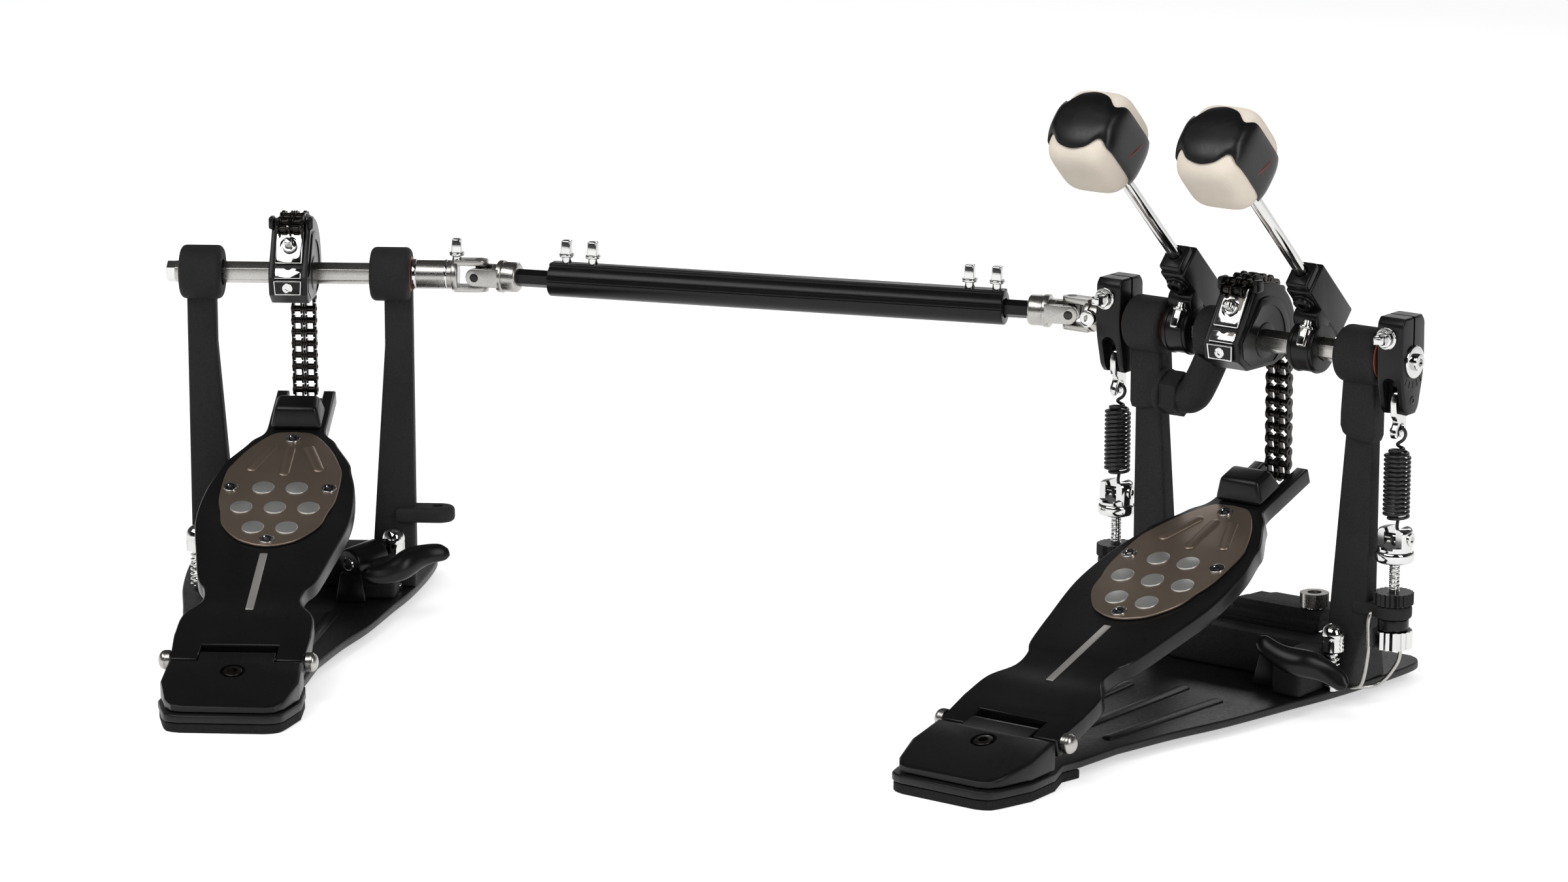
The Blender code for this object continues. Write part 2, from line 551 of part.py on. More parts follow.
def spring_side(side, frame, x):
    """Everything between a rocker and its post's lug: rocker, link, spring and tension rod."""
    pin_z = AXLE_Z - ROCKER_PIN_DROP
    outline = [(y, z + AXLE_Z) for y, z in ROCKER_PROFILE]
    rocker = side_plate(outline, x - ROCKER_HALF, x + ROCKER_HALF)
    slot = block((x - ROCKER_SLOT_HALF, -20, AXLE_Z - 40),
                 (x + ROCKER_SLOT_HALF, 20, AXLE_Z + ROCKER_SLOT_TOP))
    pin = x_bar(x - ROCKER_HALF + 1, x + ROCKER_HALF - 1, 0, pin_z, LINK_PIN_RADIUS, 10)
    piece(f"{side}_rocker", frame, BLACK_PAINT, [rocker], [slot, hex_bar(x - 12, x + 12, HEX_BORE)],
          (0, 0, AXLE_Z), [pin])

    hole_z = LOWER_PIN_Z + LINK_HOLE_RISE
    strap = [(5.5, pin_z - 1), (4, pin_z + 4), (0, pin_z + 5.5), (-4, pin_z + 4), (-5.5, pin_z - 1),
             (-4.5, hole_z - 1), (-3, hole_z - 3.8), (0, hole_z - 4.6), (3, hole_z - 3.8), (4.5, hole_z - 1)]
    eyes = [x_bar(x - 5, x + 5, 0, pin_z - 0.7, 3.4, 14), x_bar(x - 5, x + 5, 0, hole_z, 2.3, 12)]
    piece(f"{side}_spring_link", frame, CHROME, [side_plate(strap, x - LINK_HALF, x + LINK_HALF)], eyes,
          (x, 0, LOWER_PIN_Z))

    spring(f"{side}_spring", frame, x)

    def upright(low, high, radius, sides=14):
        return bar((x, 0, low), (x, 0, high), radius, sides)

    ears = [block((x + low, -CLEVIS_DEPTH, CLEVIS_EAR_SPAN[0]), (x + high, CLEVIS_DEPTH, CLEVIS_EAR_SPAN[1]))
            for low, high in (CLEVIS_EAR, (-CLEVIS_EAR[1], -CLEVIS_EAR[0]))]
    lower_pin = x_bar(x - CLEVIS_EAR[1] + 1, x + CLEVIS_EAR[1] - 1, 0, LOWER_PIN_Z, LINK_PIN_RADIUS, 10)
    shapes = [upright(*ROD_SPAN, ROD_RADIUS, 12), upright(*DISC_SPAN, DISC_RADIUS), *ears, lower_pin,
              upright(TENSION_LUG_HIGH + GAP, KNOB_TOP, KNOB_RADIUS), upright(*NUT_SPAN, KNOB_RADIUS),
              upright(NUT_SPAN[1] - 0.5, TENSION_LUG_LOW - GAP, COLLAR_RADIUS)]
    piece(f"{side}_tension_rod", frame, CHROME, shapes, origin=(x, 0, LOWER_PIN_Z))


# Beaters

def beater(side, frame, x):
    foot = Vector((x, ROD_FOOT_Y, AXLE_Z + ROD_FOOT_RISE))
    place = Matrix.Translation(foot) @ Matrix.Rotation(BEATER_LEAN, 4, "X")
    axle = (0, 0, AXLE_Z)
    low, high, near, far = BEATER_BLOCK
    collar = x_bar(x - BEATER_HUB_HALF, x + BEATER_HUB_HALF, 0, AXLE_Z, 12.0, 20)
    clamp = moved(block((-BEATER_HUB_HALF, near, low), (BEATER_HUB_HALF, far, high), 1.2), place)
    web = moved(block((-BEATER_HUB_HALF + 0.5, -18, -6), (BEATER_HUB_HALF - 0.5, near + 2, 9)), place)
    rod_hole = moved(bar((0, 0, -60), (0, 0, 90), BEATER_ROD_RADIUS + GAP, 14), place)
    piece(f"{side}_beater_hub", frame, BLACK_PAINT, [collar, web, clamp],
          [hex_bar(x - 12, x + 12, HEX_BORE), rod_hole], axle)

    rod = moved(bar((0, 0, BEATER_ROD_SPAN[0]), (0, 0, BEATER_ROD_SPAN[1]), BEATER_ROD_RADIUS, 14), place)
    piece(f"{side}_beater_rod", frame, CHROME, [rod], origin=foot)

    half_x, half_y = HEAD_SIZE[0] / 2, HEAD_SIZE[1] / 2
    head = block((-half_x, -half_y, HEAD_SPAN[0]), (half_x, half_y, HEAD_SPAN[1]))
    bmesh.ops.bevel(head, geom=head.edges[:], offset=HEAD_ROUNDING, segments=3, affect="EDGES", profile=0.5)
    socket = bar((0, 0, HEAD_SPAN[0] - 9), (0, 0, BEATER_ROD_SPAN[1] + 1), BEATER_ROD_RADIUS + GAP, 14)
    piece(f"{side}_beater_head", frame, FELT, [moved(head, place)], [moved(socket, place)], foot)


# Drive shaft

def yoke(end, upright):
    """Fork of a universal joint centred on the origin, which opens towards it from the given side of X."""
    far = end * YOKE_REACH
    reach = sorted((far * 1.15, -end * YOKE_HALF_WIDTH))
    shapes = [x_bar(*sorted((far, far + end * 3.2)), 0, 0, EAR_GAP_HALF + EAR_THICK)]
    for side in (-1, 1):
        across = sorted((side * EAR_GAP_HALF, side * (EAR_GAP_HALF + EAR_THICK)))
        ear = block((reach[0], -YOKE_HALF_WIDTH, across[0]), (reach[1], YOKE_HALF_WIDTH, across[1]), 0.8)
        shapes.append(ear)
    hole = bar((0, 0, -12), (0, 0, 12), CROSS_PIN_RADIUS + GAP, 12)
    if not upright:
        quarter = Matrix.Rotation(math.pi / 2, 4, "X")
        shapes = [shapes[0]] + [moved(shape, quarter) for shape in shapes[1:]]
        hole = moved(hole, quarter)
    return shapes, hole


def axle_with_yoke(name, frame, joint_x, end, hex_span, socket_span, extra=()):
    """A hexagon axle with the socket and fork of a universal joint at its end."""
    shapes, hole = yoke(end, True)
    place = Matrix.Translation((joint_x, 0, AXLE_Z))
    fork = [moved(shape, place) for shape in shapes]
    socket = x_bar(*socket_span, 0, AXLE_Z, SOCKET_RADIUS)
    piece(name, frame, STEEL, [hex_bar(*hex_span), socket, *fork, *extra], [moved(hole, place)],
          (0, 0, AXLE_Z))


def cross(name, line, x):
    """The cross of a joint: an upright pin in the axle's fork and a level pin in the shaft's fork."""
    reach = EAR_GAP_HALF + EAR_THICK - 0.2
    shapes = [block([-CROSS_HALF] * 3, [CROSS_HALF] * 3),
              bar((0, 0, -reach), (0, 0, reach), CROSS_PIN_RADIUS, 12),
              bar((0, -reach, 0), (0, reach, 0), CROSS_PIN_RADIUS, 12)]
    place = Matrix.Translation((x, 0, 0))
    piece(name, line, CHROME, [moved(shape, place) for shape in shapes], origin=(x, 0, 0))


def drive_rod(name, line, x, end):
    """A fork with its socket and the hexagon rod that slides into the drive tube."""
    shapes, hole = yoke(end, False)
    tube_end = TUBE_SPAN[0] if end > 0 else TUBE_SPAN[1]
    socket = x_bar(*sorted((end * YOKE_REACH, end * SOCKET_END)), 0, 0, SOCKET_RADIUS)
    inside = tube_end + end * DRIVE_ROD_INSIDE - x
    rod = x_bar(*sorted((end * (SOCKET_END - 2), inside)), 0, 0, DRIVE_ROD_RADIUS, 6)
    place = Matrix.Translation((x, 0, 0))
    placed = [moved(shape, place) for shape in (socket, *shapes, rod)]
    piece(name, line, BLACK_PAINT, placed, [moved(hole, place)], (x, 0, 0))


def drive_shaft(line, length):
    drive_rod("slave_drive_rod", line, 0, 1)
    drive_rod("output_drive_rod", line, length, -1)
    cross("slave_joint_cross", line, 0)
    cross("output_joint_cross", line, length)
    tube = x_bar(*TUBE_SPAN, 0, 0, TUBE_RADIUS, 24)
    ridge = block((TUBE_SPAN[0], -TUBE_RIDGE_HALF, 0), (TUBE_SPAN[1], TUBE_RIDGE_HALF, TUBE_RIDGE_TOP))
    bore = x_bar(TUBE_SPAN[0] - 9, TUBE_SPAN[1] + 9, 0, 0, TUBE_BORE, 16)
    piece("drive_tube", line, BLACK_PAINT, [tube, ridge], [bore])


# The two pedals

def slave_pedal(frame):
    pedal_common("slave", frame)
    axle_with_yoke("slave_axle", frame, SLAVE_JOINT_X, -1, (-62, 63), (61.4, SLAVE_JOINT_X - YOKE_REACH),
                   [x_bar(-66.2, -61, 0, AXLE_Z, 4.4, 12)])
    post("slave_left_post", frame, SLAVE_LEFT_POST, (-59, -37.2), SLAVE_BORE)
    lug = block(SPARE_LUG_LOW, SPARE_LUG_HIGH, 1.5)
    lug_hole = bar((SPARE_HOLE_X, 0, SPARE_LUG_LOW[2] - 5), (SPARE_HOLE_X, 0, SPARE_LUG_HIGH[2] + 5),
                   ROD_RADIUS + GAP, 12)
    post("slave_right_post", frame, SLAVE_RIGHT_POST, (40.2, 61.0), SLAVE_BORE, [lug], [lug_hole])
    clamp_body("slave", frame, -30.9, 37.4, SLAVE_WING)
    wing_bolt("slave", frame, SLAVE_WING, SLAVE_WING_ALONG)


def primary_pedal(frame):
    pedal_common("primary", frame)
    piece("primary_axle", frame, STEEL, [hex_bar(-17.6, 94.5), x_bar(94, 98, 0, AXLE_Z, 4.4, 12)],
          origin=(0, 0, AXLE_Z))
    axle_with_yoke("output_axle", frame, OUTPUT_JOINT_X, 1, (-90, -18.4),
                   (OUTPUT_JOINT_X + YOKE_REACH, -84.5))
    left_web, right_web = foot_web(*LEFT_WEB, 0), foot_web(*RIGHT_WEB, RIGHT_WEB_LEAN)
    sides = (("left", -1, -55.5, LEFT_SPRING_X, (-66, -45), PRIMARY_LEFT_POST, left_web),
             ("right", 1, 66.0, RIGHT_SPRING_X, (55.4, 77.4), PRIMARY_RIGHT_POST, right_web))
    for side, sign, post_x, spring_x, hub, outline, web in sides:
        lug, hole = tension_lug(post_x, spring_x)
        extra = [sleeve(post_x), web, *lug]
        post(f"primary_{side}_post", frame, outline, hub, BEARING_RADIUS + GAP, extra, hole)
        spring_side(side, frame, spring_x)
        inner = hub[1] - BEARING_LENGTH if side == "left" else hub[0]
        ring = x_bar(inner, inner + BEARING_LENGTH, 0, AXLE_Z, BEARING_RADIUS, 20)
        inside = x_bar(inner - 5, inner + BEARING_LENGTH + 5, 0, AXLE_Z, HEX_RADIUS + GAP, 18)
        piece(f"{side}_bearing", frame, STEEL, [ring], [inside])
        beater(side, frame, sign * BEATER_X)
        ball_at = Vector((post_x - sign * 6, SPUR_Y, SPUR_Z))
        spur = [ball(ball_at, SPUR_BALL_RADIUS), bar(ball_at, (ball_at.x, SPUR_Y, DECK), SPUR_RADIUS, 12)]
        piece(f"primary_{side}_spur", frame, CHROME, spur, origin=ball_at)

    ring = x_bar(*ARM_RING, 0, AXLE_Z, ARM_RING_RADIUS, 16)
    arms = [bar(start, end, radius, 12) for start, end, radius in zip(ARM_POINTS, ARM_POINTS[1:], ARM_RADII)]
    elbow = ball(ARM_POINTS[1], ARM_RADII[0])
    piece("center_bearing_arm", frame, POWDER_COAT, [ring, arms[1], elbow, arms[0]],
          [x_bar(ARM_RING[0] - 9, ARM_RING[1] + 9, 0, AXLE_Z, SLAVE_BORE)])

    clamp_body("primary", frame, -37.4, 49.4, PRIMARY_WING)
    wing_bolt("primary", frame, PRIMARY_WING, PRIMARY_WING_ALONG)
    jaw = [block(JAW_LOW, JAW_HIGH, 2.0), block(JAW_PAD_LOW, JAW_PAD_HIGH)]
    piece("hoop_clamp_jaw", frame, POWDER_COAT, jaw, origin=(0, 10, 34))


def main():
    global PARTS, TOOLS
    clear_scene()
    PARTS = new_collection(OBJECT_NAME)
    TOOLS = new_collection("shaping_tools")
    primary = frame_empty("primary_frame", (0, 0, 0), 0)
    slave = frame_empty("slave_frame", (SLAVE_X, SLAVE_Y, 0), SLAVE_YAW)
    turned = Matrix.Rotation(SLAVE_YAW, 3, "Z") @ Vector((SLAVE_JOINT_X, 0, AXLE_Z))
    start = turned + Vector((SLAVE_X, SLAVE_Y, 0))
    end = Vector((OUTPUT_JOINT_X, 0, AXLE_Z))
    line = frame_empty("drive_line", start, math.atan2(end.y - start.y, end.x - start.x))
    primary_pedal(primary)
    slave_pedal(slave)
    drive_shaft(line, (end - start).length)


main()
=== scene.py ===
"""Looks of the double bass drum pedal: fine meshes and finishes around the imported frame.

Sizes are millimetres in a pedal's own frame, as in the part's source: X along the axle to the player's
right, Y towards the drum, Z up, origin on the floor under the axle. Helpers turn them into metres.
"""
from math import atan2, copysign, cos, exp, pi, radians, sin, tan

import bmesh
import bpy
import numpy as np
from mathutils import Matrix, Vector


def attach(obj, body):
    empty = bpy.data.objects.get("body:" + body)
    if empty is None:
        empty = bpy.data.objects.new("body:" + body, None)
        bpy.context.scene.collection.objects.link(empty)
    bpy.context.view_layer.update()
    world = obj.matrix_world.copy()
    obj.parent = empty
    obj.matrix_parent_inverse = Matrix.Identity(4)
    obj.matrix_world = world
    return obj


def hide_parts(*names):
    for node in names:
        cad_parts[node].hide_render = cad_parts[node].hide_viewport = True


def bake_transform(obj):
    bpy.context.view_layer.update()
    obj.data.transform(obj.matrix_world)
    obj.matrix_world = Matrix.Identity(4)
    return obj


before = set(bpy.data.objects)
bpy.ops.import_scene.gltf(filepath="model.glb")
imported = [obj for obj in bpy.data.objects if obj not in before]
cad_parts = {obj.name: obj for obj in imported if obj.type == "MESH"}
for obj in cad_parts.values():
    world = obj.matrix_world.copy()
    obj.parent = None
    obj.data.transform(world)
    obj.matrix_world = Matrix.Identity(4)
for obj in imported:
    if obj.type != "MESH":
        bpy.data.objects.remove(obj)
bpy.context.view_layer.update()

MM = 0.001
BOTH_SIDES = (-1, 1)
AXLE_Z = 175.0
SLAVE_X, SLAVE_Y, SLAVE_YAW = -481.6, -159.8, radians(33.85)
SLAVE_JOINT_X, OUTPUT_JOINT_X = 96.4, -103.5
HINGE_Y, HINGE_Z = -203.7, 21.7
BOARD_ANGLE, BOARD_LOW, BOARD_HIGH = radians(18.5), -4.6, 4.4
TOE_ALONG, CHAIN_RADIUS = 247.5, 29.5
HEX_RADIUS = 5.0 / cos(pi / 6)
HEX_FIT, HEX_CLEAR, CUT_REACH = HEX_RADIUS + 0.35, HEX_RADIUS + 1, 12
LEFT_SPRING_X, RIGHT_SPRING_X, LOWER_PIN_Z = -75.2, 86.2, 87.6
BEATER_X, BEATER_LEAN = 36.2, radians(46.6)
ROD_FOOT = (14.4, 15.3)
TUBE_SPAN = (39.6, 281.9)
WING_AXIS = Vector((0.5, -0.78, 0.38)).normalized()
PRIMARY_WING, PRIMARY_WING_ALONG = Vector((63.0, -45, 30.6)), Vector((37, 20, -22.7))
SLAVE_WING, SLAVE_WING_ALONG = Vector((61.3, -42, 30.9)), Vector((32, 28, 3.2))
DECK, POST_KINK_Z, POST_TOP_Z = 9.3, 138.0, AXLE_Z - 8.0

# The camera that the photograph was taken with, in metres and millimetres of lens
CAMERA_PLACE = Vector((1.3576, -2.1613, 0.6986))
CAMERA_FORWARD = Vector((-0.58998, 0.77664, -0.22082))
CAMERA_ROLL, CAMERA_LENS, CAMERA_SENSOR = 0.0012, 122.03, 36.0

PRIMARY = Matrix.Identity(4)
SLAVE = Matrix.Translation((SLAVE_X, SLAVE_Y, 0)) @ Matrix.Rotation(SLAVE_YAW, 4, "Z")
SHAFT_START = SLAVE @ Vector((SLAVE_JOINT_X, 0, AXLE_Z))
SHAFT_END = Vector((OUTPUT_JOINT_X, 0, AXLE_Z))
SHAFT_LENGTH = (SHAFT_END - SHAFT_START).length
SHAFT_YAW = atan2(SHAFT_END.y - SHAFT_START.y, SHAFT_END.x - SHAFT_START.x)
SHAFT = Matrix.Translation(SHAFT_START) @ Matrix.Rotation(SHAFT_YAW, 4, "Z")
BOARD = Matrix.Translation((0, HINGE_Y, HINGE_Z)) @ Matrix.Rotation(BOARD_ANGLE, 4, "X")


# Materials

EVEN, FINE_RELIEF = (1, 1, 1), (0.00005, 0.3)
CLOUD_SCALE, CLOUD_DETAIL, GRAIN_DETAIL, NOISE_RANGE = 35.0, 3.0, 5.0, (0.3, 0.7)


def add_node(tree, kind, inputs, operation=None):
    """A shader node whose inputs are linked from other nodes or set to constants."""
    made = tree.nodes.new(kind)
    if operation:
        made.operation = operation
    for key, value in inputs.items():
        if isinstance(value, bpy.types.NodeSocket):
            tree.links.new(value, made.inputs[key])
        else:
            made.inputs[key].default_value = value
    return made


def mapped(tree, value, start, end):
    """A value carried from one range to another."""
    ends = dict(zip(("From Min", "From Max", "To Min", "To Max"), (*start, *end)))
    return add_node(tree, "ShaderNodeMapRange", {"Value": value, **ends}).outputs["Result"]


def noise(tree, scale, detail, stretch):
    """Noise over the piece's own coordinates, in metres."""
    where = tree.nodes.new("ShaderNodeTexCoord").outputs["Object"]
    mapping = add_node(tree, "ShaderNodeMapping", {"Vector": where, "Scale": stretch})
    inputs = {"Vector": mapping.outputs["Vector"], "Scale": scale, "Detail": detail}
    return add_node(tree, "ShaderNodeTexNoise", inputs).outputs["Fac"]


def plain_material(name, colour, roughness, metallic, specular):
    """A new material with constants on its shader's own sockets, and that shader."""
    made = bpy.data.materials.new(name)
    made.use_nodes = True
    shader = made.node_tree.nodes["Principled BSDF"]
    shader.inputs["Base Color"].default_value = (*colour, 1)
    shader.inputs["Roughness"].default_value = roughness
    shader.inputs["Metallic"].default_value = metallic
    shader.inputs["Specular IOR Level"].default_value = specular
    return made, shader


def finish_material(name, colour, roughness, metallic, grain, tint=0.25, relief=FINE_RELIEF, specular=0.5,
                    stretch=EVEN):
    """A material whose colour wanders by a tint, and its roughness with a fine grain."""
    made, shader = plain_material(name, colour, sum(roughness) / 2, metallic, specular)
    tree = made.node_tree
    fine = noise(tree, grain, GRAIN_DETAIL, stretch)
    wander = add_node(tree, "ShaderNodeValToRGB", {"Fac": noise(tree, CLOUD_SCALE, CLOUD_DETAIL, EVEN)})
    for element, position, share in zip(wander.color_ramp.elements, NOISE_RANGE, (1 - tint, 1 + tint)):
        element.position = position
        element.color = (*[min(1.0, channel * share) for channel in colour], 1)
    tree.links.new(wander.outputs["Color"], shader.inputs["Base Color"])
    tree.links.new(mapped(tree, fine, NOISE_RANGE, roughness), shader.inputs["Roughness"])
    if relief:
        raised = {"Height": fine, "Distance": relief[0], "Strength": relief[1]}
        bump = add_node(tree, "ShaderNodeBump", raised)
        tree.links.new(bump.outputs["Normal"], shader.inputs["Normal"])
    return made


# Colour, range of roughness, metallic and scale of the grain of each finish, then, where they are not the
# usual ones, its tint, relief in metres with its strength, specular level and stretch of the grain
FINISHES = {
    "satin_black": ((0.005, 0.005, 0.0053), (0.27, 0.31), 0.0, 300, 0.15, None, 0.26),
    "powder_coat": ((0.013, 0.013, 0.0131), (0.62, 0.85), 0.0, 1400, 0.2, (0.0004, 0.9), 0.3),
    "base_paint": ((0.008, 0.008, 0.0083), (0.34, 0.48), 0.0, 700, 0.2, (0.0001, 0.3), 0.3),
    "bronze_brushed": ((0.33, 0.26, 0.205), (0.34, 0.44), 0.9, 260, 0.06, (0.00003, 0.1), 0.5, (1, 14, 14)),
    "chrome": ((0.64, 0.64, 0.635), (0.05, 0.09), 1.0, 60, 0.03, None),
    "brushed_steel": ((0.44, 0.43, 0.41), (0.22, 0.34), 1.0, 300, 0.08, (0.00002, 0.15), 0.5, (0.05, 8, 8)),
    "chain_steel": ((0.045, 0.042, 0.039), (0.24, 0.42), 1.0, 500, 0.4),
    "rubber": ((0.008, 0.008, 0.008), (0.75, 0.95), 0.0, 800, 0.2, (0.0002, 0.5), 0.3),
    "spring_black": ((0.007, 0.007, 0.007), (0.28, 0.42), 0.0, 900),
    "felt": ((0.78, 0.70, 0.60), (0.85, 1.0), 0.0, 950, 0.05, (0.0004, 0.6), 0.1),
    "beater_plastic": ((0.005, 0.005, 0.0055), (0.30, 0.40), 0.0, 600, 0.25, FINE_RELIEF, 0.4),
    "red_line": ((0.22, 0.020, 0.016), (0.4, 0.6), 0.0, 600),
    "spun_aluminium": ((0.86, 0.86, 0.84), (0.38, 0.44), 1.0, 500, 0.03, FINE_RELIEF, 0.5, (1, 10, 10)),
    "silver_strip": ((0.50, 0.49, 0.47), (0.30, 0.45), 0.7, 300, 0.1, FINE_RELIEF, 0.5, (8, 1, 8)),
    "bearing_shield": ((0.24, 0.07, 0.04), (0.40, 0.60), 0.6, 600),
}
MATERIALS = {name: finish_material(name, *values) for name, values in FINISHES.items()}

# Each look's finish and the record's slot that it stands for
LOOKS = {
    "casting": ("satin_black", "casting_black"), "powder": ("powder_coat", "powder_coat"),
    "base": ("base_paint", "base_paint"), "bronze": ("bronze_brushed", "bronze_plate"),
    "chrome": ("chrome", "chrome"), "steel": ("brushed_steel", "brushed_steel"),
    "yoke": ("brushed_steel", "casting_black"), "beam": ("powder_coat", "casting_black"),
    "chain": ("chain_steel", "chain_steel"), "rubber": ("rubber", "rubber"),
    "spring": ("spring_black", "spring_black"), "felt": ("felt", "felt"),
    "plastic": ("beater_plastic", "felt"), "red": ("red_line", "felt"),
    "dots": ("spun_aluminium", "bronze_plate"), "strip": ("silver_strip", "casting_black"),
    "copper": ("bearing_shield", "brushed_steel"),
}


# Shapes, each a closed bmesh in millimetres

ROUND_PROFILE, RIM_ANGLE, WELD_DISTANCE = 0.5, 1.2, 1e-4
PLATE_RIM_STEPS, KNURL_END = 2, 0.88


def round_edges(bm, bevel, segments=3):
    if bevel:
        bmesh.ops.bevel(bm, geom=bm.edges[:], offset=bevel, segments=segments, affect="EDGES",
                        profile=ROUND_PROFILE, clamp_overlap=True)


def block(low, high, bevel):
    size = [b - a for a, b in zip(low, high)]
    middle = [(a + b) / 2 for a, b in zip(low, high)]
    bm = bmesh.new()
    bmesh.ops.create_cube(bm, size=1, matrix=Matrix.Translation(middle) @ Matrix.Diagonal((*size, 1)))
    round_edges(bm, bevel)
    return bm


def tapered(low, high, top_scale, bevel, segments=3):
    """A block whose top face is scaled in X and Y about its own middle."""
    bm = block(low, high, 0)
    middle = (Vector(low) + Vector(high)) / 2
    for vert in bm.verts:
        if vert.co.z > middle.z:
            vert.co.x = middle.x + (vert.co.x - middle.x) * top_scale[0]
            vert.co.y = middle.y + (vert.co.y - middle.y) * top_scale[1]
    round_edges(bm, bevel, segments)
    return bm


def bar(start, end, radius, sides, bevel, segments=3):
    """A round or many-sided bar between two points, with bevelled rims."""
    start, end = Vector(start), Vector(end)
    turn = (end - start).to_track_quat("Z", "Y").to_matrix().to_4x4()
    bm = bmesh.new()
    bmesh.ops.create_cone(bm, cap_ends=True, segments=sides, radius1=radius, radius2=radius,
                          depth=(end - start).length, matrix=Matrix.Translation((start + end) / 2) @ turn)
    if bevel:
        rims = [edge for edge in bm.edges if edge.calc_face_angle() > RIM_ANGLE]
        bmesh.ops.bevel(bm, geom=rims, offset=bevel, segments=segments, affect="EDGES",
                        profile=ROUND_PROFILE)
    return bm


def x_bar(low, high, y, z, *section):
    return bar((low, y, z), (high, y, z), *section)


def z_bar(x, y, low, high, *section):
    return bar((x, y, low), (x, y, high), *section)


def axle_bar(low, high, *section):
    return x_bar(low, high, 0, AXLE_Z, *section)


def hex_bar(low, high, radius=HEX_RADIUS, bevel=0.3):
    bm = axle_bar(low, high, radius, 6, 0)
    round_edges(bm, bevel, 2)
    return bm


def ball(centre, radius):
    bm = bmesh.new()
    bmesh.ops.create_uvsphere(bm, u_segments=32, v_segments=16, radius=radius,
                              matrix=Matrix.Translation(centre))
    return bm


def curve_mesh(curve):
    """The mesh of a curve, welded, as a bmesh."""
    holder = bpy.data.objects.new("outline", curve)
    bpy.context.scene.collection.objects.link(holder)
    mesh = bpy.data.meshes.new_from_object(holder.evaluated_get(bpy.context.evaluated_depsgraph_get()))
    bpy.data.objects.remove(holder, do_unlink=True)
    bm = bmesh.new()
    bm.from_mesh(mesh)
    bpy.data.meshes.remove(mesh)
    bmesh.ops.remove_doubles(bm, verts=bm.verts[:], dist=WELD_DISTANCE)
    bmesh.ops.recalc_face_normals(bm, faces=bm.faces[:])
    return bm


def fill_spline(curve, points, cyclic):
    spline = curve.splines.new("POLY")
    spline.points.add(len(points) - 1)
    for target, point in zip(spline.points, points):
        target.co = (*point, 1)
    spline.use_cyclic_u = cyclic


def plate(outline, low, high, rim):
    """A flat outline in X and Y between two heights, with rounded rims."""
    curve = bpy.data.curves.new("outline", "CURVE")
    curve.dimensions = "2D"
    curve.fill_mode = "BOTH"
    curve.extrude = (high - low) / 2 - rim
    curve.bevel_depth = rim
    curve.bevel_resolution = PLATE_RIM_STEPS
    curve.offset = -rim
    fill_spline(curve, [(x, y, 0) for x, y in outline], True)
    bm = curve_mesh(curve)
    bmesh.ops.translate(bm, verts=bm.verts[:], vec=(0, 0, (low + high) / 2))
    return bm


def side_plate(outline, x_low, x_high, rim):
    """An outline in Y and Z, extruded along X."""
    turn = Matrix(((0, 0, 1, 0), (1, 0, 0, 0), (0, 1, 0, 0), (0, 0, 0, 1)))
    return moved(plate(outline, x_low, x_high, rim), turn)


def tube(points, radius, resolution=4, cyclic=False):
    curve = bpy.data.curves.new("wire", "CURVE")
    curve.dimensions = "3D"
    curve.bevel_depth = radius
    curve.bevel_resolution = resolution
    curve.use_fill_caps = True
    fill_spline(curve, points, cyclic)
    return curve_mesh(curve)


def moved(bm, matrix):
    bmesh.ops.transform(bm, matrix=matrix, verts=bm.verts[:])
    return bm


def loft(rings):
    """A closed skin over rings of points, capped at both ends."""
    bm = bmesh.new()
    rows = [[bm.verts.new(point) for point in ring] for ring in rings]
    count = len(rows[0])
    for first, second in zip(rows, rows[1:]):
        for i in range(count):
            j = (i + 1) % count
            bm.faces.new((first[i], first[j], second[j], second[i]))
    bm.faces.new(reversed(rows[0]))
    bm.faces.new(rows[-1])
    bmesh.ops.recalc_face_normals(bm, faces=bm.faces[:])
    return bm


def knurled(start, end, radius, teeth, rows, depth, straight=False):
    """A knob with diamond knurling, or straight flutes, between two points."""
    start, end = Vector(start), Vector(end)
    turn = (end - start).to_track_quat("Z", "Y").to_matrix()
    rings = []
    for row in range(-1, rows + 2):
        inside = 0 <= row <= rows
        centre = start.lerp(end, min(max(row / rows, 0), 1))
        ring = []
        for i in range(teeth * 2):
            raised = (i % 2 == 0) if straight else ((i + row) % 2 == 0)
            r = (radius if raised else radius - depth) if inside else radius * KNURL_END
            angle = pi * i / teeth
            ring.append(centre + turn @ Vector((r * cos(angle), r * sin(angle), 0)))
        rings.append(ring)
    return loft(rings)


def smooth(points, steps):
    """A curve through the points."""
    pts = np.array(points, float)
    padded = np.vstack((2 * pts[0] - pts[1], pts, 2 * pts[-1] - pts[-2]))
    out = []
    for p0, p1, p2, p3 in zip(padded, padded[1:], padded[2:], padded[3:]):
        for step in range(steps):
            t = step / steps
            out.append(0.5 * (2 * p1 + (p2 - p0) * t + (2 * p0 - 5 * p1 + 4 * p2 - p3) * t ** 2
                              + (3 * p1 - p0 - 3 * p2 + p3) * t ** 3))
    out.append(pts[-1])
    return [tuple(float(v) for v in point) for point in out]


def mirrored(right_side):
    return list(right_side) + [(-x, y) for x, y in reversed(right_side)]


def span(side, near, far):
    """Two distances from the middle on one side of it, in rising order."""
    return sorted((side * near, side * far))


def arc(radius, low, high, steps, centre=(0, 0)):
    angles = [low + (high - low) * i / steps for i in range(steps + 1)]
    return [(centre[0] + radius * cos(a), centre[1] + radius * sin(a)) for a in angles]


def turn_angles(steps, turns=1):
    """Equal steps around one or more turns."""
    return [2 * pi * k / steps for k in range(turns * steps)]


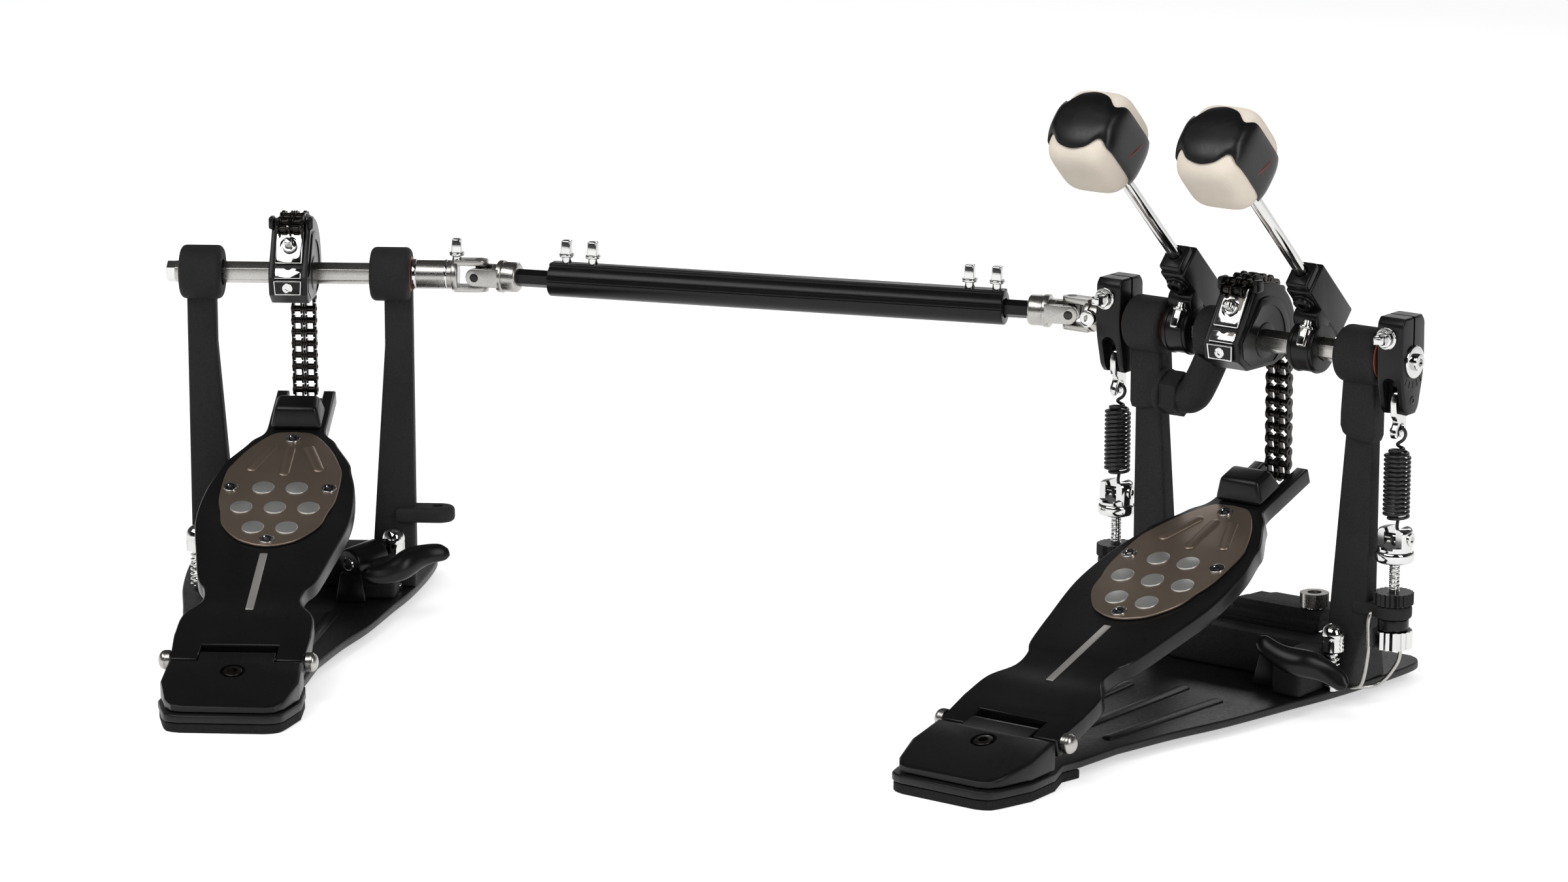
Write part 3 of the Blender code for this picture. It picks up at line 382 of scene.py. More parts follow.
def on_board(points):
    """Points over the floor, as X and the distance along the board's top."""
    rise = BOARD_HIGH * tan(BOARD_ANGLE)
    return [(x, (y - HINGE_Y) / cos(BOARD_ANGLE) + rise) for x, y in points]


def axle_level(points):
    return [(y, z + AXLE_Z) for y, z in points]


# Pieces

SMOOTH_ANGLE, KNURL_ANGLE, SOFT_ANGLE = 32.0, 12, 60


def mesh_from(bm, name):
    mesh = bpy.data.meshes.new(name)
    bm.to_mesh(mesh)
    bm.free()
    return mesh


def combined(name, shapes, cuts, late):
    """One mesh from shapes joined, cut and joined again, in millimetres."""
    base = bpy.data.objects.new(name, mesh_from(shapes[0], name))
    bpy.context.scene.collection.objects.link(base)
    steps = [("UNION", shape) for shape in shapes[1:]] + [("DIFFERENCE", shape) for shape in cuts]
    steps += [("UNION", shape) for shape in late]
    tools = []
    for operation, shape in steps:
        tool = bpy.data.objects.new(name + "_tool", mesh_from(shape, name + "_tool"))
        bpy.context.scene.collection.objects.link(tool)
        modifier = base.modifiers.new(operation, "BOOLEAN")
        modifier.operation = operation
        modifier.object = tool
        tools.append(tool)
    mesh = bpy.data.meshes.new_from_object(base.evaluated_get(bpy.context.evaluated_depsgraph_get()))
    for old in (base, *tools):
        bpy.data.objects.remove(old, do_unlink=True)
    return mesh


def together(shapes):
    """Separate shapes in one bmesh, without joining them."""
    whole = bmesh.new()
    for shape in shapes:
        mesh = mesh_from(shape, "shape")
        whole.from_mesh(mesh)
        bpy.data.meshes.remove(mesh)
    return whole


def piece(home, name, look, shapes, cuts=(), late=(), node=None, sharp=SMOOTH_ANGLE):
    """A finished piece, which stands for a CAD node where one is named.

    Its home is the prefix of its own name and its node's, the body that it rides on, and its place.
    """
    prefix, body, place = home
    name, node = prefix + name, node and prefix + node
    mesh = combined(name, list(shapes), cuts, late)
    mesh.transform(Matrix.Scale(MM, 4) @ place)
    mesh.shade_smooth()
    mesh.set_sharp_from_angle(angle=radians(sharp))
    mesh.materials.clear()
    finish, slot = LOOKS[look]
    mesh.materials.append(MATERIALS[finish])
    obj = bpy.data.objects.new(name, mesh)
    bpy.context.scene.collection.objects.link(obj)
    if body:
        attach(obj, body)
    if node:
        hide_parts(node)
    return obj


def home_on(owner, body, place=PRIMARY):
    """The home of pieces whose names and body start with their owner's name."""
    return f"{owner}_", f"{owner}_{body}", place


def facing(at, direction):
    """A place whose Z axis points along a direction."""
    return Matrix.Translation(at) @ Vector(direction).to_track_quat("Z", "Y").to_matrix().to_4x4()


def key_bolt(at, direction, flange=4.1, square=5.6, height=12.0, stem=3.2):
    """A square-headed drum key bolt: its stem, its flange and a square with a rounded top."""
    half = square / 2
    shapes = [z_bar(0, 0, -0.6, stem + 0.4, flange * 0.62, 28, 0.2),
              z_bar(0, 0, stem, stem + 1.6, flange, 36, 0.5),
              tapered((-half, -half, stem + 1.0), (half, half, height), (0.86, 0.86), 0.9)]
    return [moved(shape, facing(at, direction)) for shape in shapes]


def socket_screw(at, direction, radius, height, recess):
    """A round screw head and the hexagon to cut from it."""
    head = z_bar(0, 0, -0.5, height, radius, 36, min(0.5, height * 0.3))
    hole = z_bar(0, 0, height * 0.35, height + 5, radius * recess, 6, 0)
    return [moved(shape, facing(at, direction)) for shape in (head, hole)]


def screw_piece(home, name, look, screw, extra=()):
    """A piece of one socket screw, with other shapes where given."""
    head, hole = socket_screw(*screw)
    piece(home, name, look, [*extra, head], [hole])


# Base, heel and footboard of either pedal, with the right sides of outlines as (x, y)

PAD_FRONT_SIDE = ((21, -258), (26.5, -256), (29.8, -251), (35, -232))
PAD_BACK_SIDE = ((34, -212), (28.5, -198), (30.5, -187))
BASE_SIDE = ((32, -157), (39, -120), (47.5, -86), (55, -43), (60.5, -12), (64.5, 26), (65.5, 56), (62, 66),
             (56, 70))
BASE_LOW, BASE_HIGH, PAD_HIGH, PAD_INSET = 5, 9, 4.7, 0.5
BASE_RIBS = (((20, -150), (26, -60)), ((-20, -150), (-26, -60)), ((0, -150), (0, -50)))
BASE_RIB_RADIUS, BASE_RIB_FLATNESS = 3.4, 0.42
# Middle and half sizes of the feet under the plate
BASE_FEET = ((0, 0, 20, 14), (46, 44, 8, 8), (-46, 44, 8, 8))
BOARD_SIDE = ((34, -190), (32.5, -173), (25, -161), (25.5, -150), (30, -141), (34.5, -119), (39.5, -89),
              (38.3, -62), (34, -43), (32, -35), (24.5, -21), (21.6, -15), (16, -7), (15.5, 10))
TREAD_SIDE = ((1, -114.3), (7, -113), (16, -108), (24.8, -96), (27.5, -84), (30, -72), (30, -50),
              (27.5, -40), (20.7, -25), (10.7, -12), (1, -9.7))
DOT_PLACES = ((0, -80.6), (17.2, -80.6), (-17.2, -80.6), (8.6, -62.6), (-8.6, -62.6), (8.6, -98.6),
              (-8.6, -98.6))
SCREW_PLACES = ((0, -16.7), (25.3, -62.9), (-25.3, -62.9), (0, -109.2))
TREAD_RIBS = (((-10, -25.5), (-17.3, -44.5)), ((0, -26), (0, -48.5)), ((10, -25.5), (17.3, -44.5)))
TREAD_LOW, TREAD_RIB_RADIUS, DOT_RADIUS = BOARD_HIGH + 0.3, 2.9, 5.7
STRIP_ENDS = ((0, -168.1), (0, -119.3))
HEEL_SIDE = ((20, -254.5), (25, -253), (28.8, -248), (33.8, -231), (33, -211))
HEEL_FRONT_TOP, HEEL_BACK_TOP, HEEL_BOLT_Y = 12.8, 24.3, -221.6
TONGUE_HALF, TONGUE_OVERLAP, EAR_XS = 18.6, 6, (19, 33)
HINGE_BORE, HINGE_RADIUS, HINGE_HALF, KNOB_XS = 2.8, 2.5, 36, (33.4, 36.2)


def base(home):
    heel_side = smooth(PAD_FRONT_SIDE, 5) + list(PAD_BACK_SIDE)
    outline = mirrored(heel_side + smooth(BASE_SIDE, 5))
    lift = Matrix.Translation((0, 0, BASE_HIGH))
    flat = lift @ Matrix.Diagonal((1, 1, BASE_RIB_FLATNESS, 1)) @ lift.inverted()
    ribs = [moved(bar((*start, BASE_HIGH), (*end, BASE_HIGH), BASE_RIB_RADIUS, 24, 2.0), flat)
            for start, end in BASE_RIBS]
    feet = [block((x - a, y - b, 0), (x + a, y + b, 6), 1.2) for x, y, a, b in BASE_FEET]
    piece(home, "base", "base", [plate(outline, BASE_LOW, BASE_HIGH, 0.9), *ribs, *feet], node="base_plate")
    pad = mirrored([(x - PAD_INSET, y + PAD_INSET) for x, y in heel_side])
    piece(home, "pad", "rubber", [plate(pad, 0, PAD_HIGH, 0.7)], node="heel_pad")


def heel(home):
    """The sloping heel block with its bolt, and the tongue that holds the hinge."""
    front, back = HEEL_SIDE[0][1], HEEL_SIDE[-1][1]
    fall = (HEEL_BACK_TOP - HEEL_FRONT_TOP) / (back - front)
    wedge = plate(mirrored(HEEL_SIDE), DECK, HEEL_BACK_TOP, 2.2)
    for vert in wedge.verts:
        share = (vert.co.z - DECK) / (HEEL_BACK_TOP - DECK)
        vert.co.z -= share * fall * (back - vert.co.y)
    root, tip = back - TONGUE_OVERLAP, HINGE_Y - 1.5
    rise = HEEL_BACK_TOP + fall * (tip - back)
    profile = ((root, DECK), (root, HEEL_BACK_TOP - fall * TONGUE_OVERLAP), (tip, rise),
               (tip + 0.8, rise - 1.4), (tip + 0.8, HINGE_Z - 4), (HINGE_Y - 3, DECK))
    tongue = side_plate(profile, -TONGUE_HALF, TONGUE_HALF, 0.4)
    knuckle = x_bar(-TONGUE_HALF, TONGUE_HALF, HINGE_Y, HINGE_Z, 4.2, 40, 0.6)
    bore = x_bar(-28, 28, HINGE_Y, HINGE_Z, HINGE_BORE, 24, 0)
    bolt_at = Vector((0, HEEL_BOLT_Y, HEEL_BACK_TOP - fall * (back - HEEL_BOLT_Y)))
    slope = Vector((0, -fall, 1)).normalized()
    recess = bar(bolt_at - slope * 1.8, bolt_at + slope * 9, 6.2, 40, 0)
    piece(home, "heel", "casting", [wedge, tongue, knuckle], [bore, recess], node="heel_block")
    screw_piece(home, "heel_bolt", "chain", (bolt_at - slope * 1.6, slope, 4.6, 1.8, 0.55))


def hinge(home):
    pin = x_bar(-HINGE_HALF, HINGE_HALF, HINGE_Y, HINGE_Z, HINGE_RADIUS, 40, 0.5)
    piece(home, "hinge", "steel", [pin], node="hinge_pin")
    knobs = []
    for side in BOTH_SIDES:
        inner, outer = [Vector((side * x, HINGE_Y, HINGE_Z)) for x in KNOB_XS]
        dome = Matrix.Translation(outer) @ Matrix.Diagonal((0.66, 1, 1, 1))
        knobs += [knurled(inner, outer, 4.8, 30, 5, 0.4), moved(ball((0, 0, 0), 4.7), dome)]
    piece(home, "hinge_knobs", "steel", [together(knobs)], sharp=KNURL_ANGLE)


def tread(home):
    """The bronze traction plate, with its ribs, dots and screws."""
    egg = mirrored(smooth(on_board(TREAD_SIDE), 6))
    piece(home, "tread", "bronze", [plate(egg, TREAD_LOW, TREAD_LOW + 1.4, 0.5)], node="traction_plate")
    flat = Matrix.Translation((0, 0, TREAD_LOW + 1.2)) @ Matrix.Diagonal((1, 1, 0.34, 1))
    ribs = []
    for rib in TREAD_RIBS:
        ends = [(x, y, 0) for x, y in on_board(rib)]
        rounds = [ball(end, TREAD_RIB_RADIUS) for end in ends]
        ribs.append(moved(together([bar(*ends, TREAD_RIB_RADIUS, 28, 0), *rounds]), flat))
    piece(home, "tread_ribs", "bronze", [together(ribs)])
    dots = [z_bar(*spot, TREAD_LOW + 1.0, TREAD_LOW + 1.9, DOT_RADIUS, 48, 0.3)
            for spot in on_board(DOT_PLACES)]
    piece(home, "tread_dots", "dots", [together(dots)])
    level, spots = TREAD_LOW + 1.1, on_board(SCREW_PLACES)
    heads, holes = zip(*[socket_screw((*spot, level), (0, 0, 1), 3.9, 1.1, 0.42) for spot in spots])
    grooves = [z_bar(*spot, level + 0.5, level + 5, 2.9, 32, 0) for spot in spots]
    cores = [z_bar(*spot, level, level + 0.85, 2.1, 32, 0.2) for spot in spots]
    piece(home, "tread_screws", "chrome", [together(heads)], [together(grooves)])
    piece(home, "tread_sockets", "chain", [together(cores)], [together(holes)])


def footboard(home):
    sides, end = smooth(on_board(BOARD_SIDE), 6), TOE_ALONG + 4
    near, far = EAR_XS
    outline = mirrored([(near, 8), (near, 0), (far, 0), *sides, (15.5, end), (9, end), (9, 230)])
    ears = [block((low, -5.6, -5.0), (high, 12, BOARD_HIGH), 1.3)
            for low, high in [span(side, near, far) for side in BOTH_SIDES]]
    pin = x_bar(-14.5, 14.5, TOE_ALONG, 0, 1.6, 20, 0.2)
    bore = x_bar(-42, 42, 0, 0, HINGE_BORE, 24, 0)
    board = plate(outline, BOARD_LOW, BOARD_HIGH, 1.3)
    piece(home, "board", "casting", [board, *ears, pin], [bore], node="footboard")
    tread(home)
    (_, strip_low), (_, strip_high) = on_board(STRIP_ENDS)
    strip = block((-2.0, strip_low, BOARD_HIGH - 0.5), (2.0, strip_high, BOARD_HIGH + 0.35), 0.3)
    piece(home, "strip", "strip", [strip])
    toe = tapered((-13.6, 209.5, TREAD_LOW), (13.6, 231, 16.4), (0.80, 0.62), 2.4, 4)
    piece(home, "toe", "casting", [toe], node="toe_block")


# Cam and chain

CAM_ARC = (radians(-15), radians(105))
CAM_FRONT = ((-24.5, 2), (-23, -7.5), (-15, -13), (9, -13.5))
# Radius, scale, inner and outer distance from the middle, and rim of the flanges, bosses and hollows
CAM_LAYERS = ((28.6, 1.0, 7.2, 10.0, 0.7), (26.0, 0.84, 9.0, 10.8, 0.6), (21.0, 0.84, 10.2, 12.0, 0.1))
CAM_SLOPE = Matrix.Translation((0, -16.2, AXLE_Z + 12.3)) @ Matrix.Rotation(radians(60.1), 4, "X")
CAM_FACE = facing((0, -24.6, AXLE_Z - 3.2), (0, -1, -0.12))
CAM_CORE_RADIUS, CAM_CORE_HALF, CAM_STEPS = 25.6, 8.2, 40
CLAMP_HALF, CLAMP_BOLT_Y = 7.1, 4.4
WRAP_START, CHAIN_CORNERS = radians(119), (pi / 4, pi / 8, 0)
PLATE_XS_OUTER, PLATE_XS_INNER = (-6.05, 0.0, 6.05), (-5.15, -1.25, 1.25, 5.15)
PLATE_THICK, PLATE_RADIUS, PLATE_WAIST, PLATE_TURN = 0.8, 2.85, 1.9, 2.3
ROLLER_SPANS, ROLLER_RADIUS, PIN_HALF, PIN_RADIUS = ((-4.8, -1.6), (1.6, 4.8)), 1.65, 6.9, 1.1


def cam_profile(radius):
    return arc(radius, *CAM_ARC, CAM_STEPS) + list(CAM_FRONT)


def cam_layer(radius, scale, near, far, rim):
    """The cam's outline on both sides of its core."""
    profile = [(y * scale, z * scale) for y, z in cam_profile(radius)]
    return [side_plate(axle_level(profile), *span(side, near, far), rim) for side in BOTH_SIDES]


def cam(pedal, place):
    home, slope, face = [home_on(pedal, "axle_set", place @ local)
                         for local in (Matrix.Identity(4), CAM_SLOPE, CAM_FACE)]
    core = side_plate(axle_level(cam_profile(CAM_CORE_RADIUS)), -CAM_CORE_HALF, CAM_CORE_HALF, 0.3)
    flanges, bosses, hollows = [cam_layer(*layer) for layer in CAM_LAYERS]
    hubs = [axle_bar(*span(side, 8, 10.6), 9.0, 44, 0.6) for side in BOTH_SIDES]
    piece(home, "cam_wheel", "casting", [core, *flanges, *bosses], hollows, hubs, node="cam")
    lugs = [block((x - 1.5, -11, AXLE_Z + 24.5), (x + 1.5, -4, AXLE_Z + 31), 1.2) for x in (-10.0, 10.0)]
    piece(home, "cam_lugs", "casting", [together(lugs)])

    clamp = block((-CLAMP_HALF, -5.4, -0.4), (CLAMP_HALF, 15.8, 2.6), 0.8)
    piece(slope, "chain_clamp", "chrome", [clamp], [z_bar(0, CLAMP_BOLT_Y, 0.9, 9, 4.9, 40, 0)])
    piece(slope, "clamp_bolt", "chrome", key_bolt((0, CLAMP_BOLT_Y, 0.6), (0, 0.1, 1), 3.9, 4.4, 7.6, 1.0))
    rail = block((-CLAMP_HALF, -13.7, -0.4), (CLAMP_HALF, -7.3, 2.2), 0.9)
    piece(slope, "cam_rail", "chrome", [rail], [z_bar(0, -6.4, 1.2, 8, 2.6, 28, 0)])
    piece(face, "cam_panel", "casting", [block((-6.9, -3.8, -1.5), (6.9, 4.0, 0.6), 0.4)])
    outline = [(-6.4, -3.4, 0.5), (6.4, -3.4, 0.5), (6.9, 3.6, 0.5), (-6.9, 3.6, 0.5)]
    piece(face, "cam_outline", "chrome", [tube(outline, 0.55, 3, True)])
    screw_piece(face, "cam_screw", "chrome", ((0, 0, 0.4), (0, 0, 1), 2.7, 0.9, 0.5))


def link_plate(start, end, x):
    """A figure-of-eight chain plate between two pins in the Y-Z plane."""
    start, end = Vector(start), Vector(end)
    along = atan2(end.y - start.y, end.x - start.x)
    length = (end - start).length
    right = arc(PLATE_RADIUS, -PLATE_TURN, PLATE_TURN, 16, (length, 0))
    left = arc(PLATE_RADIUS, pi - PLATE_TURN, pi + PLATE_TURN, 16)
    outline = right + [(length / 2, PLATE_WAIST)] + left + [(length / 2, -PLATE_WAIST)]
    cosine, sine = cos(along), sin(along)
    turned = [(start.x + u * cosine - v * sine, start.y + u * sine + v * cosine) for u, v in outline]
    return side_plate(turned, x - PLATE_THICK / 2, x + PLATE_THICK / 2, 0.15)


def chain_stretch(home, name, pins, node):
    """Links between the pins, outer and inner in turn, with rollers and pins."""
    shapes = []
    for index, (start, end) in enumerate(zip(pins, pins[1:])):
        shapes += [link_plate(start, end, x) for x in (PLATE_XS_INNER if index % 2 else PLATE_XS_OUTER)]
        shapes += [x_bar(*ends, *start, ROLLER_RADIUS, 16, 0.2, 1) for ends in ROLLER_SPANS]
        shapes.append(x_bar(-PIN_HALF, PIN_HALF, *start, PIN_RADIUS, 14, 0.25, 1))
    piece(home, name, "chain", [together(shapes)], node=node)


def between(start, end, count):
    return [tuple(start[k] + (end[k] - start[k]) * i / count for k in (0, 1)) for i in range(count + 1)]


def chain(pedal, place):
    """The chain's wrap on the cam, the two stretches that leave it and the run down to the toe."""
    corner = [axle_level(arc(CHAIN_RADIUS, a, a, 1))[0] for a in CHAIN_CORNERS]
    toe = (HINGE_Y + TOE_ALONG * cos(BOARD_ANGLE), HINGE_Z + TOE_ALONG * sin(BOARD_ANGLE))
    wrap = axle_level(arc(CHAIN_RADIUS, WRAP_START, CHAIN_CORNERS[0], 6))
    stretches = (("on_cam", "axle_set", wrap, "wrap"),
                 ("first", "chain_a", between(corner[0], corner[1], 2), "link_a"),
                 ("second", "chain_b", between(corner[1], corner[2], 2), "link_b"),
                 ("hanging", "chain_c", between(corner[2], toe, 12), "run"))
    for name, body, pins, node in stretches:
        chain_stretch((f"{pedal}_chain_", f"{pedal}_{body}", place), name, pins, node)


# Posts, clamp and wing bolts

UPRIGHT = Matrix(((1, 0, 0, 0), (0, 0, -1, 0), (0, 1, 0, 0), (0, 0, 0, 1)))
PRIMARY_LEFT_POST = ((-62, DECK), (-38, DECK), (-47.5, POST_KINK_Z), (-47.5, POST_TOP_Z), (-62.5, POST_TOP_Z))
PRIMARY_RIGHT_POST = ((50, DECK), (65, DECK), (74, 48), (74.3, POST_TOP_Z), (59.3, POST_TOP_Z),
                      (59.3, POST_KINK_Z))
SLAVE_LEFT_POST = ((-56, DECK), (-31.5, DECK), (-41, POST_KINK_Z), (-41, POST_TOP_Z), (-56, POST_TOP_Z))
SLAVE_RIGHT_POST = ((38, DECK), (61.5, DECK), (61.5, POST_TOP_Z), (47, POST_TOP_Z), (47, POST_KINK_Z))
POST_HALF_THICK, POST_TAPER, HUB_RADIUS = 5.5, 0.27, 14.0
SLEEVE_OUTLINE = ((9.5, 169), (-8.2, 169), (-9.5, 146), (-9.5, 140), (-8, 136.5), (-4.5, 134), (4, 132.4),
                  (8.4, 133), (9.5, 136))
FOOT_WEB = ((0, DECK), (30, DECK), (9, 47), (0, 47))
# Where each web starts and ends in X, and how far it leans for each millimetre up
FOOT_WEB_SIDES = {"left": (-61.5, -52.0, 0.0), "right": (55.0, 64.5, 0.23)}
CLAMP_TOP, WING_HALF, WING_STEPS, WING_SWELL, WING_TIP = 30, 24, 40, 0.42, 0.45
# Half height and half thickness of the wings, each with what the swelling in the middle adds
WING_HEIGHT, WING_THICK, WING_SWEEP, WING_LIFT = (4.9, 2.3), (2.5, 2.8), 1.9, 2.6


def post(home, outline, hub, bore, extra=(), cuts=()):
    """A post that thins towards its top, with a hub around the axle."""
    column = moved(plate(outline, -POST_HALF_THICK, POST_HALF_THICK, 1.6), UPRIGHT)
    for vert in column.verts:
        vert.co.y *= 1 - POST_TAPER * (vert.co.z - DECK) / (POST_TOP_Z - DECK)
    barrel = axle_bar(*hub, HUB_RADIUS, 56, 2.8, 4)
    hole = axle_bar(hub[0] - 5, hub[1] + 5, bore, 40, 0)
    piece(home, "post_body", "powder", [column, barrel, *extra], [hole, *cuts], node="post")


def clamp_beam(home, x_low, x_high, wing_at, extra):
    """The beam between the posts, with the bracket that the wing bolt goes through, and loose fittings."""
    middle = wing_at - WING_AXIS * 18
    beam = block((x_low, -9, DECK), (x_high, 14, CLAMP_TOP), 2.0)
    bracket = block((min(middle.x - 14, x_high - 4), middle.y - 5, DECK), (middle.x + 2, -6, CLAMP_TOP), 2.5)
    hole = bar(wing_at - WING_AXIS * 60, wing_at + WING_AXIS * 10, 3.9, 32, 0)
    piece(home, "clamp_beam", "beam", [beam, bracket], [hole], node="clamp_body")
    piece(home, "clamp_fittings", "casting", [together(extra)])


def wing(home, centre, along):
    """A wing bolt whose two wings sweep opposite ways."""
    across = WING_AXIS.cross(along).normalized()
    turn = Matrix((across.cross(WING_AXIS), across, WING_AXIS)).transposed().to_4x4()
    rings = []
    for step in range(WING_STEPS + 1):
        u = -1 + 2 * step / WING_STEPS
        end = max(max(0.0, 1 - abs(u) ** 12) ** 0.5, WING_TIP)
        swell = exp(-(u / WING_SWELL) ** 2)
        half_high, half_thick = [(least + added * swell) * end for least, added in (WING_HEIGHT, WING_THICK)]
        sweep, lift = WING_SWEEP * sin(pi * u), WING_LIFT * u * abs(u)
        rings.append([(WING_HALF * u, sweep + half_high * cos(a), lift + half_thick * sin(a))
                      for a in turn_angles(28)])
    handle = moved(loft(rings), Matrix.Translation(centre) @ turn)
    shaft = bar(centre - WING_AXIS * 24, centre - WING_AXIS, 3.6, 28, 0.5)
    boss = bar(centre - WING_AXIS * 9.5, centre - WING_AXIS * 2, 5.6, 40, 1.2)
    piece(home, "wing_handle", "casting", [handle, boss, shaft], node="wing_bolt")


# Springs, rockers and tension rods

COIL_RADIUS, COIL_PITCH, COIL_TURNS, COIL_STEPS, COIL_BOTTOM = 5.85, 2.2, 16, 24, 8.9
LINK_HOLE_RISE, WIRE, HOOK_RADIUS = 54.4, 0.85, 3.4
# The rocker's half outline as (y, z) from the axle, and the spring's upper hook from the link's hole
ROCKER_HALF = ((8, 22), (10.2, 19), (10.5, 14), (10.5, -4), (7.5, -18), (6, -23), (3.5, -26))
UPPER_HOOK = ((0, -0.5, -8.2), (2.8, 0, -5.9), (4.1, 0, -3.0), (3.0, 0, -0.7), (0, 0, 0), (-3.0, 0, -0.7),
              (-4.1, 0, -2.6))
# The link's two edges as (y, z), from the rocker's pin and from the spring's hole
LINK_BACK = ((5.5, -1), (4, 4), (0, 5.5), (-4, 4), (-5.7, -1))
LINK_FRONT = ((-5.2, 6), (-3.2, 3), (-5.4, -2), (-4.2, -5), (-1.6, -3.9), (0, -4.6), (3, -3.8), (4.5, -1))
ROCKER_HALF_THICK, ROCKER_PIN_Z, ROCKER_BOLT_Z = 7.2, AXLE_Z - 19, AXLE_Z + 12
SLOT_HALF, SLOT_LOW, SLOT_TOP = 4.0, AXLE_Z - 40, AXLE_Z - 11.5
LUG_LOW, LUG_HIGH, LUG_HOLE = 47.8, 54.3, 2.95
NUT_SPAN, SLEEVE_SPAN, KNOB_SPAN = (33.0, 41.7), (41.9, 47.6), (54.6, 60.6)
DISC_SPAN, CLEVIS_TOP = (75.4, 81.6), 92.7
ROD_FOOT_Z, THREAD_SPAN, THREAD_TURNS, THREAD_STEPS, THREAD_RADIUS = 31.0, (61.0, 76.0), 15, 14, 2.45


def spring_points():
    """The spring's wire from its lower hook, through the coil, to its upper hook."""
    turns = [radians(degrees) for degrees in range(170, 405, 39)]
    hook = [(0, HOOK_RADIUS * cos(a), HOOK_RADIUS * sin(a)) for a in turns]
    lower = smooth(hook + [(0, 1.2, 5.0), (0, 2.0, COIL_BOTTOM)], 4)[:-1]
    coil = []
    for index in range(COIL_TURNS * COIL_STEPS + 1):
        turn = index / COIL_STEPS
        draw_in = min(1.0, 0.35 + 0.65 * turn / 0.8, 0.42 + 0.58 * (COIL_TURNS - turn) / 1.6)
        angle = pi / 2 + 2 * pi * turn
        coil.append((COIL_RADIUS * draw_in * cos(angle), COIL_RADIUS * draw_in * sin(angle),
                     COIL_BOTTOM + COIL_PITCH * turn))
    upper = smooth([coil[-1], *[(x, y, LINK_HOLE_RISE + z) for x, y, z in UPPER_HOOK]], 4)
    return lower + coil + upper[1:]


def rocker(side, x, axle_body, sign):
    """The arm on the axle's end that pulls the spring, slit at the top for its clamp bolt."""
    home, right = (f"{side}_", axle_body, PRIMARY), smooth(ROCKER_HALF, 4)
    outline = axle_level(right + [(-y, z) for y, z in reversed(right)])
    arm = side_plate(outline, x - ROCKER_HALF_THICK, x + ROCKER_HALF_THICK, 1.2)
    slot = block((x - SLOT_HALF, -20, SLOT_LOW), (x + SLOT_HALF, -3, SLOT_TOP), 0)
    arch = bar((x, -20, SLOT_TOP), (x, -3, SLOT_TOP), SLOT_HALF, 40, 0)
    through = block((x - 2.0, -20, SLOT_LOW), (x + 2.0, 20, AXLE_Z - 11), 0)
    slit = block((x - CUT_REACH, -0.7, AXLE_Z + 4), (x + CUT_REACH, 0.7, AXLE_Z + 40), 0)
    bore = hex_bar(x - CUT_REACH, x + CUT_REACH, HEX_FIT, 0)
    pin = x_bar(x - 6.2, x + 6.2, 0, ROCKER_PIN_Z, 1.5, 20, 0)
    outer = x + sign * ROCKER_HALF_THICK
    fan = []
    for degrees in range(-36, 37, 18):
        turn = radians(degrees)
        ends = [(outer, reach * sin(turn), AXLE_Z - reach * cos(turn)) for reach in (9.5, 13.0)]
        fan.append(bar(*ends, 0.4, 12, 0))
    piece(home, "rocker_body", "casting", [arm], [slot, arch, through, slit, bore, together(fan)], [pin],
          node="rocker")
    bolt_x = x - 1.5
    washer = bar((bolt_x, -9.9, ROCKER_BOLT_Z), (bolt_x, -11.9, ROCKER_BOLT_Z), 5.6, 44, 0.6)
    bolt = key_bolt((bolt_x, -11.6, ROCKER_BOLT_Z), (0, -1, 0), 4.2, 5.0, 8.6, 1.2)
    piece(home, "rocker_bolt", "chrome", [washer, *bolt])
    pin_end = (outer - sign * 0.6, 0, ROCKER_PIN_Z)
    screw_piece(home, "rocker_pin_screw", "chain", (pin_end, (sign, 0, 0), 2.2, 0.9, 0.5))


def spring_link(side, x):
    """The curved link between the rocker's pin and the spring's upper hook."""
    hole_z = LOWER_PIN_Z + LINK_HOLE_RISE
    back = smooth([(y, ROCKER_PIN_Z + z) for y, z in LINK_BACK], 5)
    front = smooth([(y, hole_z + z) for y, z in LINK_FRONT], 5)
    eyes = [x_bar(x - 5, x + 5, 0, z, radius, sides, 0)
            for z, radius, sides in ((ROCKER_PIN_Z - 0.7, 3.4, 32), (hole_z, 2.3, 28))]
    strap = side_plate(back + front, x - 1.7, x + 1.7, 0.5)
    piece(home_on(side, "link_set"), "link", "chrome", [strap], eyes, node="spring_link")


